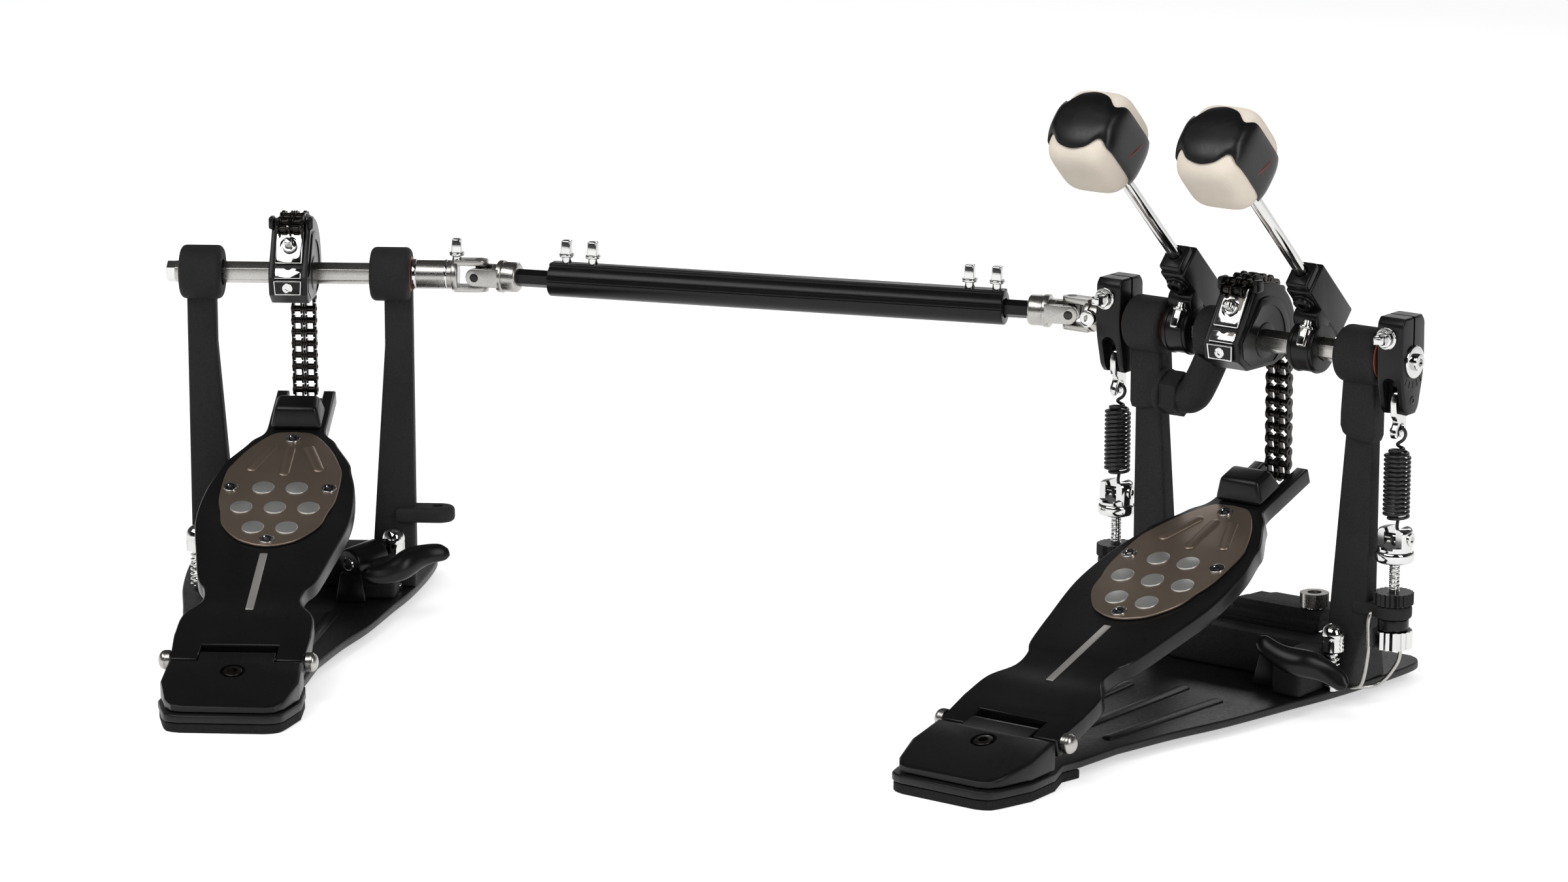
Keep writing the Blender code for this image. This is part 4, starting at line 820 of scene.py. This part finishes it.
def tension_rod(side, x):
    """The threaded rod with its clevis, thumb wheel, sleeve and lock nut."""
    home = (f"{side}_", "primary_stand", PRIMARY)
    pitch = (THREAD_SPAN[1] - THREAD_SPAN[0]) / THREAD_TURNS
    turns = [(x + THREAD_RADIUS * cos(a), THREAD_RADIUS * sin(a),
              THREAD_SPAN[0] + pitch * a / (2 * pi)) for a in turn_angles(THREAD_STEPS, THREAD_TURNS)]
    thread = [z_bar(x, 0, ROD_FOOT_Z, DISC_SPAN[0] + 2, 2.2, 24, 0.3), tube(turns, 0.32, 1)]
    piece(home, "thread", "chrome", [together(thread)])
    disc = z_bar(x, 0, *DISC_SPAN, 9.5, 56, 2.0, 5)
    drum = z_bar(x, 0, DISC_SPAN[1] - 2.5, CLEVIS_TOP, 8.6, 56, 2.2, 4)
    slot = block((x - 3.3, -20, DISC_SPAN[1] + 0.9), (x + 3.3, 20, CLEVIS_TOP + 15), 0)
    trims = [block((x - 20, y, DISC_SPAN[1] + 2), (x + 20, y + 10, CLEVIS_TOP + 15), 0) for y in (-15.4, 5.4)]
    pin = x_bar(x - 8.3, x + 8.3, 0, LOWER_PIN_Z, 1.9, 24, 0)
    piece(home, "clevis", "chrome", [disc, drum], [slot, *trims], [pin], node="tension_rod")
    screw_piece(home, "clevis_bolt", "chrome", ((x + 8.3, 0, LOWER_PIN_Z), (1, 0, 0), 3.3, 1.0, 0.5))
    for name, look, (low, high), teeth in (("tension_knob", "casting", KNOB_SPAN, 22),
                                           ("lock_nut", "chrome", NUT_SPAN, 18)):
        wheel = knurled((x, 0, low), (x, 0, high), 9.7, teeth, 8, 1.0, True)
        piece(home, name, look, [wheel], sharp=KNURL_ANGLE)
    piece(home, "rod_sleeve", "casting", [z_bar(x, 0, *SLEEVE_SPAN, 7.6, 36, 0.5)])


def spring_side(side, x, axle_body, sign):
    rocker(side, x, axle_body, sign)
    spring_link(side, x)
    wire = moved(tube(spring_points(), WIRE), Matrix.Translation((x, 0, LOWER_PIN_Z)))
    coil = piece((f"{side}_", None, PRIMARY), "coil", "spring", [wire], node="spring")
    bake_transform(coil)
    tension_rod(side, x)


# Beaters

HUB_HALF, HUB_SCREW, ROD_RADIUS, ROD_BORE = 7, (0, -8.6, 22), 3.15, 3.45
HEAD_HALF, HEAD_CENTRE = (17.7, 21.4, 18.3), 128.6
HEAD_POWER, HEAD_RINGS, HEAD_AROUND, HEAD_CROWDING = 4.2, 40, 64, 0.62
SADDLE_GROWTH, SADDLE_STEPS, SADDLE_ACROSS, SADDLE_THICK = 1.5, 96, 24, 2.6
SADDLE_START, SADDLE_TURN = radians(-48), radians(276)
SADDLE_POWER, SADDLE_HALF, END_LOBE, CORNER_WAIST = 5, 11.6, 4.8, 3.8
CORNER_AT, CORNER_WIDTH = 0.66, 0.15


def rounded_box(half):
    """A soft box: rings across its Z, each a rounded square."""
    rings = []
    for i in range(1, HEAD_RINGS):
        angle = pi * i / HEAD_RINGS - pi / 2
        level = copysign(abs(sin(angle)) ** HEAD_CROWDING, sin(angle))
        wide = max(0.0, 1 - abs(level) ** HEAD_POWER) ** (1 / HEAD_POWER)
        ring = []
        for a in turn_angles(HEAD_AROUND):
            c, s = cos(a), sin(a)
            r = (abs(c) ** HEAD_POWER + abs(s) ** HEAD_POWER) ** (-1 / HEAD_POWER)
            ring.append((half[0] * wide * r * c, half[1] * wide * r * s, half[2] * level))
        rings.append(ring)
    return loft(rings)


def saddle(half):
    """The plastic band over the sides and the far end of a head: broad lobes, drawn in at the corners."""
    rows, bm = [], bmesh.new()
    for i in range(SADDLE_STEPS + 1):
        a = SADDLE_START + SADDLE_TURN * i / SADDLE_STEPS
        c, s = cos(a), sin(a)
        r = (abs(c) ** SADDLE_POWER + abs(s) ** SADDLE_POWER) ** (-1 / SADDLE_POWER)
        end = max(0.0, s) ** SADDLE_POWER
        corner = exp(-((abs(a - pi / 2) - CORNER_AT) / CORNER_WIDTH) ** 2)
        wide = SADDLE_HALF + END_LOBE * end - CORNER_WAIST * corner
        swell = 1 + 0.07 * end + 0.02 * corner
        row = []
        for j in range(SADDLE_ACROSS + 1):
            v = -1 + 2 * j / SADDLE_ACROSS
            crown = swell * (1 - (0.06 + 0.10 * end) * abs(v) ** 3)
            spot = ((half[0] + SADDLE_GROWTH) * r * c * crown, wide * v,
                    (half[2] + SADDLE_GROWTH) * r * s * crown)
            row.append(bm.verts.new(spot))
        rows.append(row)
    for first, second in zip(rows, rows[1:]):
        for j in range(SADDLE_ACROSS):
            bm.faces.new((first[j], first[j + 1], second[j + 1], second[j]))
    bmesh.ops.recalc_face_normals(bm, faces=bm.faces[:])
    bmesh.ops.solidify(bm, geom=bm.faces[:], thickness=SADDLE_THICK)
    bmesh.ops.recalc_face_normals(bm, faces=bm.faces[:])
    return bm


def beater_hub(side, x, axle_body, place):
    """The hub on the axle that holds a beater's rod, with its bolt and screw."""
    home = (f"{side}_", axle_body, PRIMARY)
    collar = axle_bar(x - HUB_HALF, x + HUB_HALF, 12.0, 56, 0.8)
    beads = [axle_bar(x + at, x + at + 1.2, 12.5, 56, 0.4) for at in (-5.4, 4.2)]
    web, clamp, top, boss = [moved(shape, place) for shape in (
        block((-6.5, -18, -6), (6.5, -7, 9), 0), block((-HUB_HALF, -9, -9), (HUB_HALF, 8.5, 30), 1.2),
        block((-6.2, -8.2, 29), (6.2, 6.0, 34.5), 1.4), x_bar(-HUB_HALF, HUB_HALF, -10.5, 10, 6.2, 44, 1.0))]
    rod_hole = moved(z_bar(0, 0, -60, 90, ROD_BORE, 36, 0), place)
    piece(home, "hub_body", "casting", [collar, *beads, web, clamp, top, boss],
          [hex_bar(x - CUT_REACH, x + CUT_REACH, HEX_FIT, 0), rod_hole], node="beater_hub")
    bolt = key_bolt((x + 3.4, -9.6, AXLE_Z + 14.2), (0, -0.45, -0.89), 3.5, 4.8, 12.4, 2.0)
    piece(home, "hub_bolt", "chrome", bolt)
    ring = bar(HUB_SCREW, (0, -10.2, 22), 5.6, 40, 0.4)
    screw = (HUB_SCREW, (0, -1, 0), 4.4, 3.6, 0.5)
    screw_piece((f"{side}_", axle_body, place), "hub_screw", "casting", screw, [ring])


def beater(side, x, axle_body):
    foot = Vector((x, ROD_FOOT[0], AXLE_Z + ROD_FOOT[1]))
    place = Matrix.Translation(foot) @ Matrix.Rotation(BEATER_LEAN, 4, "X")
    beater_hub(side, x, axle_body, place)
    home, head = [home_on(side, "beater", place @ Matrix.Translation((0, 0, rise)))
                  for rise in (0, HEAD_CENTRE)]
    piece(home, "rod", "chrome", [z_bar(0, 0, -14, 128, ROD_RADIUS, 40, 0.6)], node="beater_rod")
    piece(head, "felt", "felt", [rounded_box(HEAD_HALF)], node="beater_head", sharp=SOFT_ANGLE)
    piece(head, "saddle", "plastic", [saddle(HEAD_HALF)], sharp=SOFT_ANGLE)
    line = [(HEAD_HALF[0] + 1.35 - 0.012 * q * q, q, -4.5 - 0.42 * q) for q in np.linspace(-10.5, 10.5, 22)]
    piece(head, "red_line", "red", [tube(line, 0.5, 2)])


# Drive shaft and axles

FORK_REACH, FORK_HALF_WIDTH, FORK_CHEEK = 11.0, 4.8, (5.4, 8.4)
CROSS_HALF, CROSS_PIN, CROSS_PIN_RADIUS, ROD_IN_TUBE = 3.4, 8.3, 2.1, 60.0
SHAFT_BOLT_XS = (48.1, 62.4, 263.2, 277.5)
TUBE_GROOVES = ((-7.9, 3.4), (-8.6, 0.6), (7.9, 3.4), (8.6, 0.6))


def fork(end, upright):
    """Fork of a universal joint centred on the origin, which opens towards it from the given side of X."""
    far = end * FORK_REACH
    tip = [(-end * x, y) for x, y in arc(FORK_HALF_WIDTH, -pi / 2, pi / 2, 16)]
    outline = [(far * 1.15, -FORK_HALF_WIDTH), *tip, (far * 1.15, FORK_HALF_WIDTH)]
    disc = x_bar(*sorted((far, far + end * 3.2)), 0, 0, 8.4, 40, 0.6)
    cheeks = [plate(outline, *span(side, *FORK_CHEEK), 0.5) for side in BOTH_SIDES]
    hole = z_bar(0, 0, -12, 12, 2.3, 24, 0)
    if not upright:
        quarter = Matrix.Rotation(pi / 2, 4, "X")
        cheeks = [moved(cheek, quarter) for cheek in cheeks]
        hole = moved(hole, quarter)
    return disc, cheeks, hole


def joint_axle(home, joint_x, end, hex_span, socket_span):
    """A hexagon axle with a socket and the fork of its universal joint."""
    disc, cheeks, hole = fork(end, True)
    at = Matrix.Translation((joint_x, 0, AXLE_Z))
    yoke = [moved(shape, at) for shape in (disc, *cheeks)]
    piece(home, "axle_bar", "steel", [hex_bar(*hex_span), axle_bar(*socket_span, 7.5, 48, 0.6), *yoke],
          [moved(hole, at)], node="axle")


def drive_rod(owner, body, x, end):
    """The satin yoke on the shaft's side of a joint, and the black hexagon rod that slides into the tube."""
    disc, cheeks, hole = fork(end, False)
    home = (f"{owner}_", body, SHAFT @ Matrix.Translation((x, 0, 0)))
    tube_end = TUBE_SPAN[0] if end > 0 else TUBE_SPAN[1]
    neck = x_bar(*span(end, 8.0, 15.0), 0, 0, 6.2, 40, 0.4)
    collar = x_bar(*span(end, 12.6, 22.0), 0, 0, 7.8, 48, 1.6)
    piece(home, "side_rod", "yoke", [disc, neck, collar, *cheeks], [hole], node="drive_rod")
    rod = x_bar(*sorted((end * 20.0, tube_end + end * ROD_IN_TUBE - x)), 0, 0, 4.6, 6, 0)
    piece(home, "side_rod_hexagon", "casting", [rod])


def cross(owner, x):
    """A joint's cross, whose pins end in the forks."""
    core = block([-CROSS_HALF] * 3, [CROSS_HALF] * 3, 0.6)
    pins = [bar(axis * -CROSS_PIN, axis * CROSS_PIN, CROSS_PIN_RADIUS, 24, 0.2)
            for axis in (Vector((0, 0, 1)), Vector((0, 1, 0)))]
    home = home_on(owner, "cross", SHAFT @ Matrix.Translation((x, 0, 0)))
    piece(home, "cross_pins", "chain", [core, *pins], node="joint_cross")


def drive_shaft():
    drive_rod("slave", "slave_drive", 0, 1)
    drive_rod("output", "drive_shaft", SHAFT_LENGTH, -1)
    cross("slave", 0)
    cross("output", SHAFT_LENGTH)
    home, (low, high) = ("", "drive_shaft", SHAFT), TUBE_SPAN
    body = x_bar(low, high, 0, 0, 8.5, 64, 0.6)
    ridge = block((low, -4, 0), (high, 4, 9.4), 0.8)
    bore = x_bar(low - 9, high + 9, 0, 0, 5.1, 40, 0)
    grooves = [block((low - 5, y - 1, z - 0.5), (high + 5, y + 1, z + 0.5), 0) for y, z in TUBE_GROOVES]
    piece(home, "shaft_tube", "casting", [body, ridge], [bore, together(grooves)], node="drive_tube")
    for index, x in enumerate(SHAFT_BOLT_XS):
        piece(home, f"shaft_bolt_{index}", "chrome", key_bolt((x, 0, 9.3), (0, 0, 1)))


# The two pedals

SPUR_TURNS, SPUR_STEPS, SPUR_THREAD, SPUR_TOP = 7, 18, 3.1, 36
SLAVE_BOSS = (Vector((30.5, -35, 28.5)), Vector((44, -18, 30.5)))
BEARING_SEAT, BEARING_WIDTH, SHIELD_WIDTH = 9.8, 8, 0.8
ARM_ROOT = (-4, 143)
ELBOW = ((-37, -4.2, 143), (-32, -4.8, 142.4), (-27, -5, 144.5), (-22.5, -4.2, 153), (-18.5, -3, 163))
WIRE_CLIP = ((79, -7.6, 51), (79, -9.6, 50), (78.5, -10.4, 45), (78.5, -10.4, 30), (74, -8, 14),
             (66, -4, 10.4), (74, 8, 10.4), (83, 10, 22), (85, 10, 32))
# Side outlines, as (y, z), of the jaw and of the crest along it, which fall towards the drum
JAW_PROFILE = ((8, 31.4), (8, 34.8), (10, 36.2), (52, 33.6), (52, 30.8), (8.6, 30.8))
JAW_CREST = ((9.8, 33), (9.8, 38.4), (12.4, 40.2), (22, 39.6), (50, 35), (50, 32))
JAW_SCREW = (30.5, 18)
ON_PRIMARY_STAND = ("", "primary_stand", PRIMARY)


def pedal_common(pedal, place):
    for part in (base, heel, hinge):
        part(home_on(pedal, "stand", place))
    footboard(home_on(pedal, "footboard_set", place @ BOARD))
    cam(pedal, place)
    chain(pedal, place)


def spur(home, name, at, node=None):
    """A spur's screw: a ball head, its thread and a knurled band."""
    at = Vector(at)
    turns = [(at.x + SPUR_THREAD * cos(a), at.y + SPUR_THREAD * sin(a),
              10.2 + (at.z - 18) * a / (2 * SPUR_TURNS * pi)) for a in turn_angles(SPUR_STEPS, SPUR_TURNS)]
    head, shaft = ball(at + Vector((0, 0, 1.2)), 5.9), bar(at, (at.x, at.y, DECK), 2.4, 28, 0)
    piece(home, name, "chrome", [together([head, shaft, tube(turns, 0.8, 3)])], node=node)
    band = knurled(at - Vector((0, 0, 6.5)), at, 5.7, 26, 6, 0.4)
    piece(home, name + "_band", "chrome", [band], sharp=KNURL_ANGLE)


def slave_axle():
    home = home_on("slave", "axle_set", SLAVE)
    joint_axle(home, SLAVE_JOINT_X, -1, (-62, 63), (61.4, 85.6))
    ring = axle_bar(78.6, 80.0, 7.9, 48, 0.3)
    collar = axle_bar(61.6, 64.0, 8.0, 48, 0.4)
    end_bolt = axle_bar(-66.4, -58.6, 5.6, 6, 0.8)
    top_bolt = key_bolt((84.8, 0, AXLE_Z + 7.2), (0, 0, 1))
    piece(home, "axle_fittings", "chrome", [together([ring, collar, end_bolt, *top_bolt])])


def slave_pedal():
    pedal_common("slave", SLAVE)
    slave_axle()
    home, left, right = [(f"slave_{side}", "slave_stand", SLAVE) for side in ("", "left_", "right_")]
    piece(home, "bearing_shield", "copper", [axle_bar(60.0, 61.3, 9.4, 48, 0.3)],
          [axle_bar(50, 70, HEX_CLEAR, 40, 0)])
    post(left, SLAVE_LEFT_POST, (-59, -37.2), HEX_CLEAR)
    lug = plate([(52, -8), (74, -8), *arc(8, -pi / 2, pi / 2, 20, (74, 0)), (52, 8)], 44, 52, 2.2)
    post(right, SLAVE_RIGHT_POST, (40.2, 61.0), HEX_CLEAR, [lug], [z_bar(73, 0, 38, 58, LUG_HOLE, 32, 0)])
    boss = bar(*SLAVE_BOSS, 8.0, 44, 1.6)
    foot = tapered((24, -40, DECK), (40, -28, 24), (0.7, 0.7), 1.0)
    clamp_beam(home, -30.9, 37.4, SLAVE_WING, [boss, foot])
    eye = facing(SLAVE_BOSS[0], (SLAVE_BOSS[0] - SLAVE_BOSS[1]).normalized())
    ring = [eye @ Vector((3.3 * cos(a), 3.3 * sin(a), 0.1)) for a in turn_angles(32)]
    piece(home, "clamp_eye", "chrome", [tube(ring, 0.6, 3, True)])
    wing(home_on("slave", "wing", SLAVE), SLAVE_WING, SLAVE_WING_ALONG)
    for side, x in ((left, -52), (right, 51.4)):
        spur(side, "spur_screw", (x, -13, SPUR_TOP))


def bearing_arm():
    """The arm from the left post to the bearing between the two axles."""
    ring = axle_bar(-25, -11.5, 13.5, 56, 3.0, 4)
    piece(ON_PRIMARY_STAND, "middle_bearing_ring", "powder", [ring], [axle_bar(-34, -2, HEX_CLEAR, 40, 0)],
          node="center_bearing_arm")
    flange = x_bar(-45.6, -42.4, *ARM_ROOT, 11.6, 48, 0.8)
    boss = x_bar(-42.8, -33.0, *ARM_ROOT, 11.4, 6, 0.8)
    arm = together([tube(smooth(ELBOW, 8), 8.6, 8), boss, flange])
    piece(ON_PRIMARY_STAND, "middle_bearing_arm", "powder", [arm])


def hoop_jaw():
    """The jaw that holds the drum's hoop, and its knurled screw."""
    home, (x, y) = ("", "hoop_jaw", PRIMARY), JAW_SCREW
    low = side_plate(JAW_PROFILE, -22, 39, 0.8)
    raised = side_plate(JAW_CREST, -12, 38.6, 0.8)
    pad = block((-20, 17, 29.8), (37, 50, 32), 0.8)
    piece(home, "hoop_jaw_plate", "powder", [low, raised, pad], node="hoop_clamp_jaw")
    knob, recess = knurled((x, y, 41), (x, y, 48), 7.2, 40, 10, 0.45), z_bar(x, y, 46.2, 52, 3.6, 36, 0)
    piece(home, "jaw_screw", "steel", [knob], [recess], sharp=KNURL_ANGLE)
    piece(home, "jaw_screw_stem", "chrome", [z_bar(x, y, 36, 42, 5.0, 36, 0.4)])


def primary_post(side, sign, post_x, spring_x, hub, outline):
    """A post with the sleeve at its top, the web at its foot and the lug for a tension rod."""
    low_x, high_x = sorted((post_x, spring_x))
    sleeve = moved(plate([(post_x + sign * x, z) for x, z in SLEEVE_OUTLINE], -6, 6, 2.0), UPRIGHT)
    lug = [block((low_x, -6, LUG_LOW), (high_x, 6, LUG_HIGH), 1.5),
           z_bar(spring_x, 0, LUG_LOW, LUG_HIGH, 9.0, 48, 1.4)]
    hole = z_bar(spring_x, 0, LUG_LOW - 5, LUG_HIGH + 5, LUG_HOLE, 32, 0)
    web_low, web_high, lean = FOOT_WEB_SIDES[side]
    web = side_plate(FOOT_WEB, web_low, web_high, 1.2)
    for vert in web.verts:
        vert.co.x += lean * (vert.co.z - DECK)
    home = (f"primary_{side}_", "primary_stand", PRIMARY)
    post(home, outline, hub, BEARING_SEAT, [sleeve, web, *lug], [hole])


def primary_side(side, sign, post_x, spring_x, hub, axle_body, outline):
    primary_post(side, sign, post_x, spring_x, hub, outline)
    spring_side(side, spring_x, axle_body, sign)
    home = (f"{side}_", "primary_stand", PRIMARY)
    inner = hub[0] if sign > 0 else hub[1] - BEARING_WIDTH
    piece(home, "bearing_ring", "copper", [axle_bar(inner, inner + BEARING_WIDTH, 9.5, 48, 0.4)],
          [axle_bar(inner - 5, inner + 13, HEX_RADIUS + 0.3, 40, 0)], node="bearing")
    shield = hub[1] if sign > 0 else hub[0] - SHIELD_WIDTH
    piece(home, "bearing_shield", "copper", [axle_bar(shield, shield + SHIELD_WIDTH, 11.0, 48, 0.2)],
          [axle_bar(shield - 5, shield + 6, HEX_RADIUS + 0.6, 40, 0)])
    beater(side, sign * BEATER_X, axle_body)
    spur(("", f"{side}_spur", PRIMARY), f"{side}_spur_screw", (post_x - sign * 6, -12, SPUR_TOP),
         f"primary_{side}_spur")


def primary_axles():
    right, left = [home_on(name, "axle_set") for name in ("primary", "output")]
    piece(right, "axle_bar", "steel", [hex_bar(-17.6, 94.5)], node="axle")
    washer = axle_bar(93.2, 94.9, 8.0, 48, 0.6)
    screw_piece(right, "axle_end", "chrome", ((94.8, 0, AXLE_Z), (1, 0, 0), 4.2, 2.6, 0.5), [washer])
    joint_axle(left, OUTPUT_JOINT_X, 1, (-90, -18.4), (-92.8, -84.5))
    screw_piece(left, "axle_bolt", "chrome", ((-88.2, -6.8, AXLE_Z), (0, -1, 0), 4.3, 3.0, 0.5))


def primary_pedal():
    pedal_common("primary", PRIMARY)
    primary_axles()
    primary_side("left", -1, -55.5, LEFT_SPRING_X, (-66, -45), "output_axle_set", PRIMARY_LEFT_POST)
    primary_side("right", 1, 66, RIGHT_SPRING_X, (55.4, 77.4), "primary_axle_set", PRIMARY_RIGHT_POST)
    bearing_arm()
    nut = tapered((22.5, -26, DECK), (35.5, -13, 25), (0.6, 0.6), 1.0)
    clamp_beam(home_on("primary", "stand"), -37.4, 49.4, PRIMARY_WING, [nut])
    # Painted shade: a thin dark strip in the rubber finish stands above the beam's top in front of the jaw, a
    # dark sheet where the jaw's underside is only in shade
    painted_shade_strip = block((-21, 5.4, 29.4), (38, 7.0, 32.2), 0.3)
    piece(ON_PRIMARY_STAND, "jaw_painted_shade_strip", "rubber", [painted_shade_strip])
    wing(home_on("primary", "wing"), PRIMARY_WING, PRIMARY_WING_ALONG)
    hoop_jaw()
    piece(ON_PRIMARY_STAND, "wire_clip", "steel", [tube(smooth(WIRE_CLIP, 8), 1.0, 4)])


# Stage, in metres

# Place, target, size and power of each lamp
LAMPS = {"key": ((-0.5, -1.6, 1.9), (-0.2, 0, 0.1), (2.2, 1.1), 28),
         "side": ((1.6, -0.6, 1.1), (-0.1, -0.1, 0.1), (0.6, 1.4), 12),
         "back": ((-0.6, 1.7, 1.0), (-0.2, 0, 0.1), (1.8, 0.4), 5)}
WHITE, FLOOR_COLOUR, FLOOR_SIZE, FLOOR_GLOW, SKY_LIGHT = (1, 1, 1, 1), (0.86, 0.86, 0.86), 6.0, 0.52, 0.45
# Where what shiny pieces see fades, upwards and towards the front, and its strength at both ends
FADE_UP, FADE_AHEAD = ((0.04, 0.26), (1.0, 0.06)), ((-0.45, 0.0), (0.10, 1.0))


def place_lamp(name, place, target, size, power):
    lamp = bpy.data.lights.new(name, "AREA")
    lamp.shape = "RECTANGLE"
    lamp.size, lamp.size_y = size
    lamp.energy = power
    obj = bpy.data.objects.new(name, lamp)
    obj.location = place
    obj.rotation_euler = (Vector(target) - Vector(place)).to_track_quat("-Z", "Y").to_euler()
    bpy.context.scene.collection.objects.link(obj)


def seen_by_eye(tree, unseen, seen):
    """The strength seen by rays from the camera, shiny metal or clear pieces, and that for all others."""
    path = tree.nodes.new("ShaderNodeLightPath")
    total = path.outputs["Is Camera Ray"]
    for name in ("Is Glossy Ray", "Is Transmission Ray"):
        added = add_node(tree, "ShaderNodeMath", {0: total, 1: path.outputs[name]}, "ADD")
        added.use_clamp = True
        total = added.outputs[0]
    return mapped(tree, total, (0, 1), (unseen, seen))


def studio_seen(tree):
    """What shiny pieces see: a white backdrop at the far side, and a dark studio above and in front."""
    where = tree.nodes.new("ShaderNodeTexCoord").outputs["Generated"]
    height = add_node(tree, "ShaderNodeSeparateXYZ", {"Vector": where}).outputs["Z"]
    forward = (CAMERA_FORWARD.x, CAMERA_FORWARD.y, 0)
    ahead = add_node(tree, "ShaderNodeVectorMath", {0: where, 1: forward}, "DOT_PRODUCT").outputs["Value"]
    fades = {0: mapped(tree, height, *FADE_UP), 1: mapped(tree, ahead, *FADE_AHEAD)}
    return add_node(tree, "ShaderNodeMath", fades, "MULTIPLY").outputs[0]


def studio_world():
    world = bpy.data.worlds.new("studio")
    world.use_nodes = True
    tree = world.node_tree
    background = tree.nodes["Background"]
    background.inputs["Color"].default_value = WHITE
    tree.links.new(seen_by_eye(tree, SKY_LIGHT, studio_seen(tree)), background.inputs["Strength"])
    return world


def pale_floor():
    bm = bmesh.new()
    bmesh.ops.create_grid(bm, x_segments=1, y_segments=1, size=FLOOR_SIZE)
    floor = bpy.data.objects.new("floor", mesh_from(bm, "floor"))
    material, shader = plain_material("pale_floor", FLOOR_COLOUR, 0.9, 0.0, 0.1)
    shader.inputs["Emission Color"].default_value = WHITE
    tree = material.node_tree
    tree.links.new(seen_by_eye(tree, 0.0, FLOOR_GLOW), shader.inputs["Emission Strength"])
    floor.data.materials.append(material)
    return floor


def photo_camera():
    lens = bpy.data.cameras.new("camera")
    lens.lens = CAMERA_LENS
    lens.sensor_width = CAMERA_SENSOR
    camera = bpy.data.objects.new("camera", lens)
    turn = CAMERA_FORWARD.to_track_quat("-Z", "Y").to_matrix().to_4x4() @ Matrix.Rotation(CAMERA_ROLL, 4, "Z")
    camera.matrix_world = Matrix.Translation(CAMERA_PLACE) @ turn
    return camera


def stage():
    scene = bpy.context.scene
    scene.view_settings.view_transform = "Standard"
    scene.world = studio_world()
    floor = pale_floor()
    scene.collection.objects.link(floor)
    for name, settings in LAMPS.items():
        place_lamp(name, *settings)
    scene.camera = photo_camera()
    scene.collection.objects.link(scene.camera)


stage()
primary_pedal()
slave_pedal()
drive_shaft()
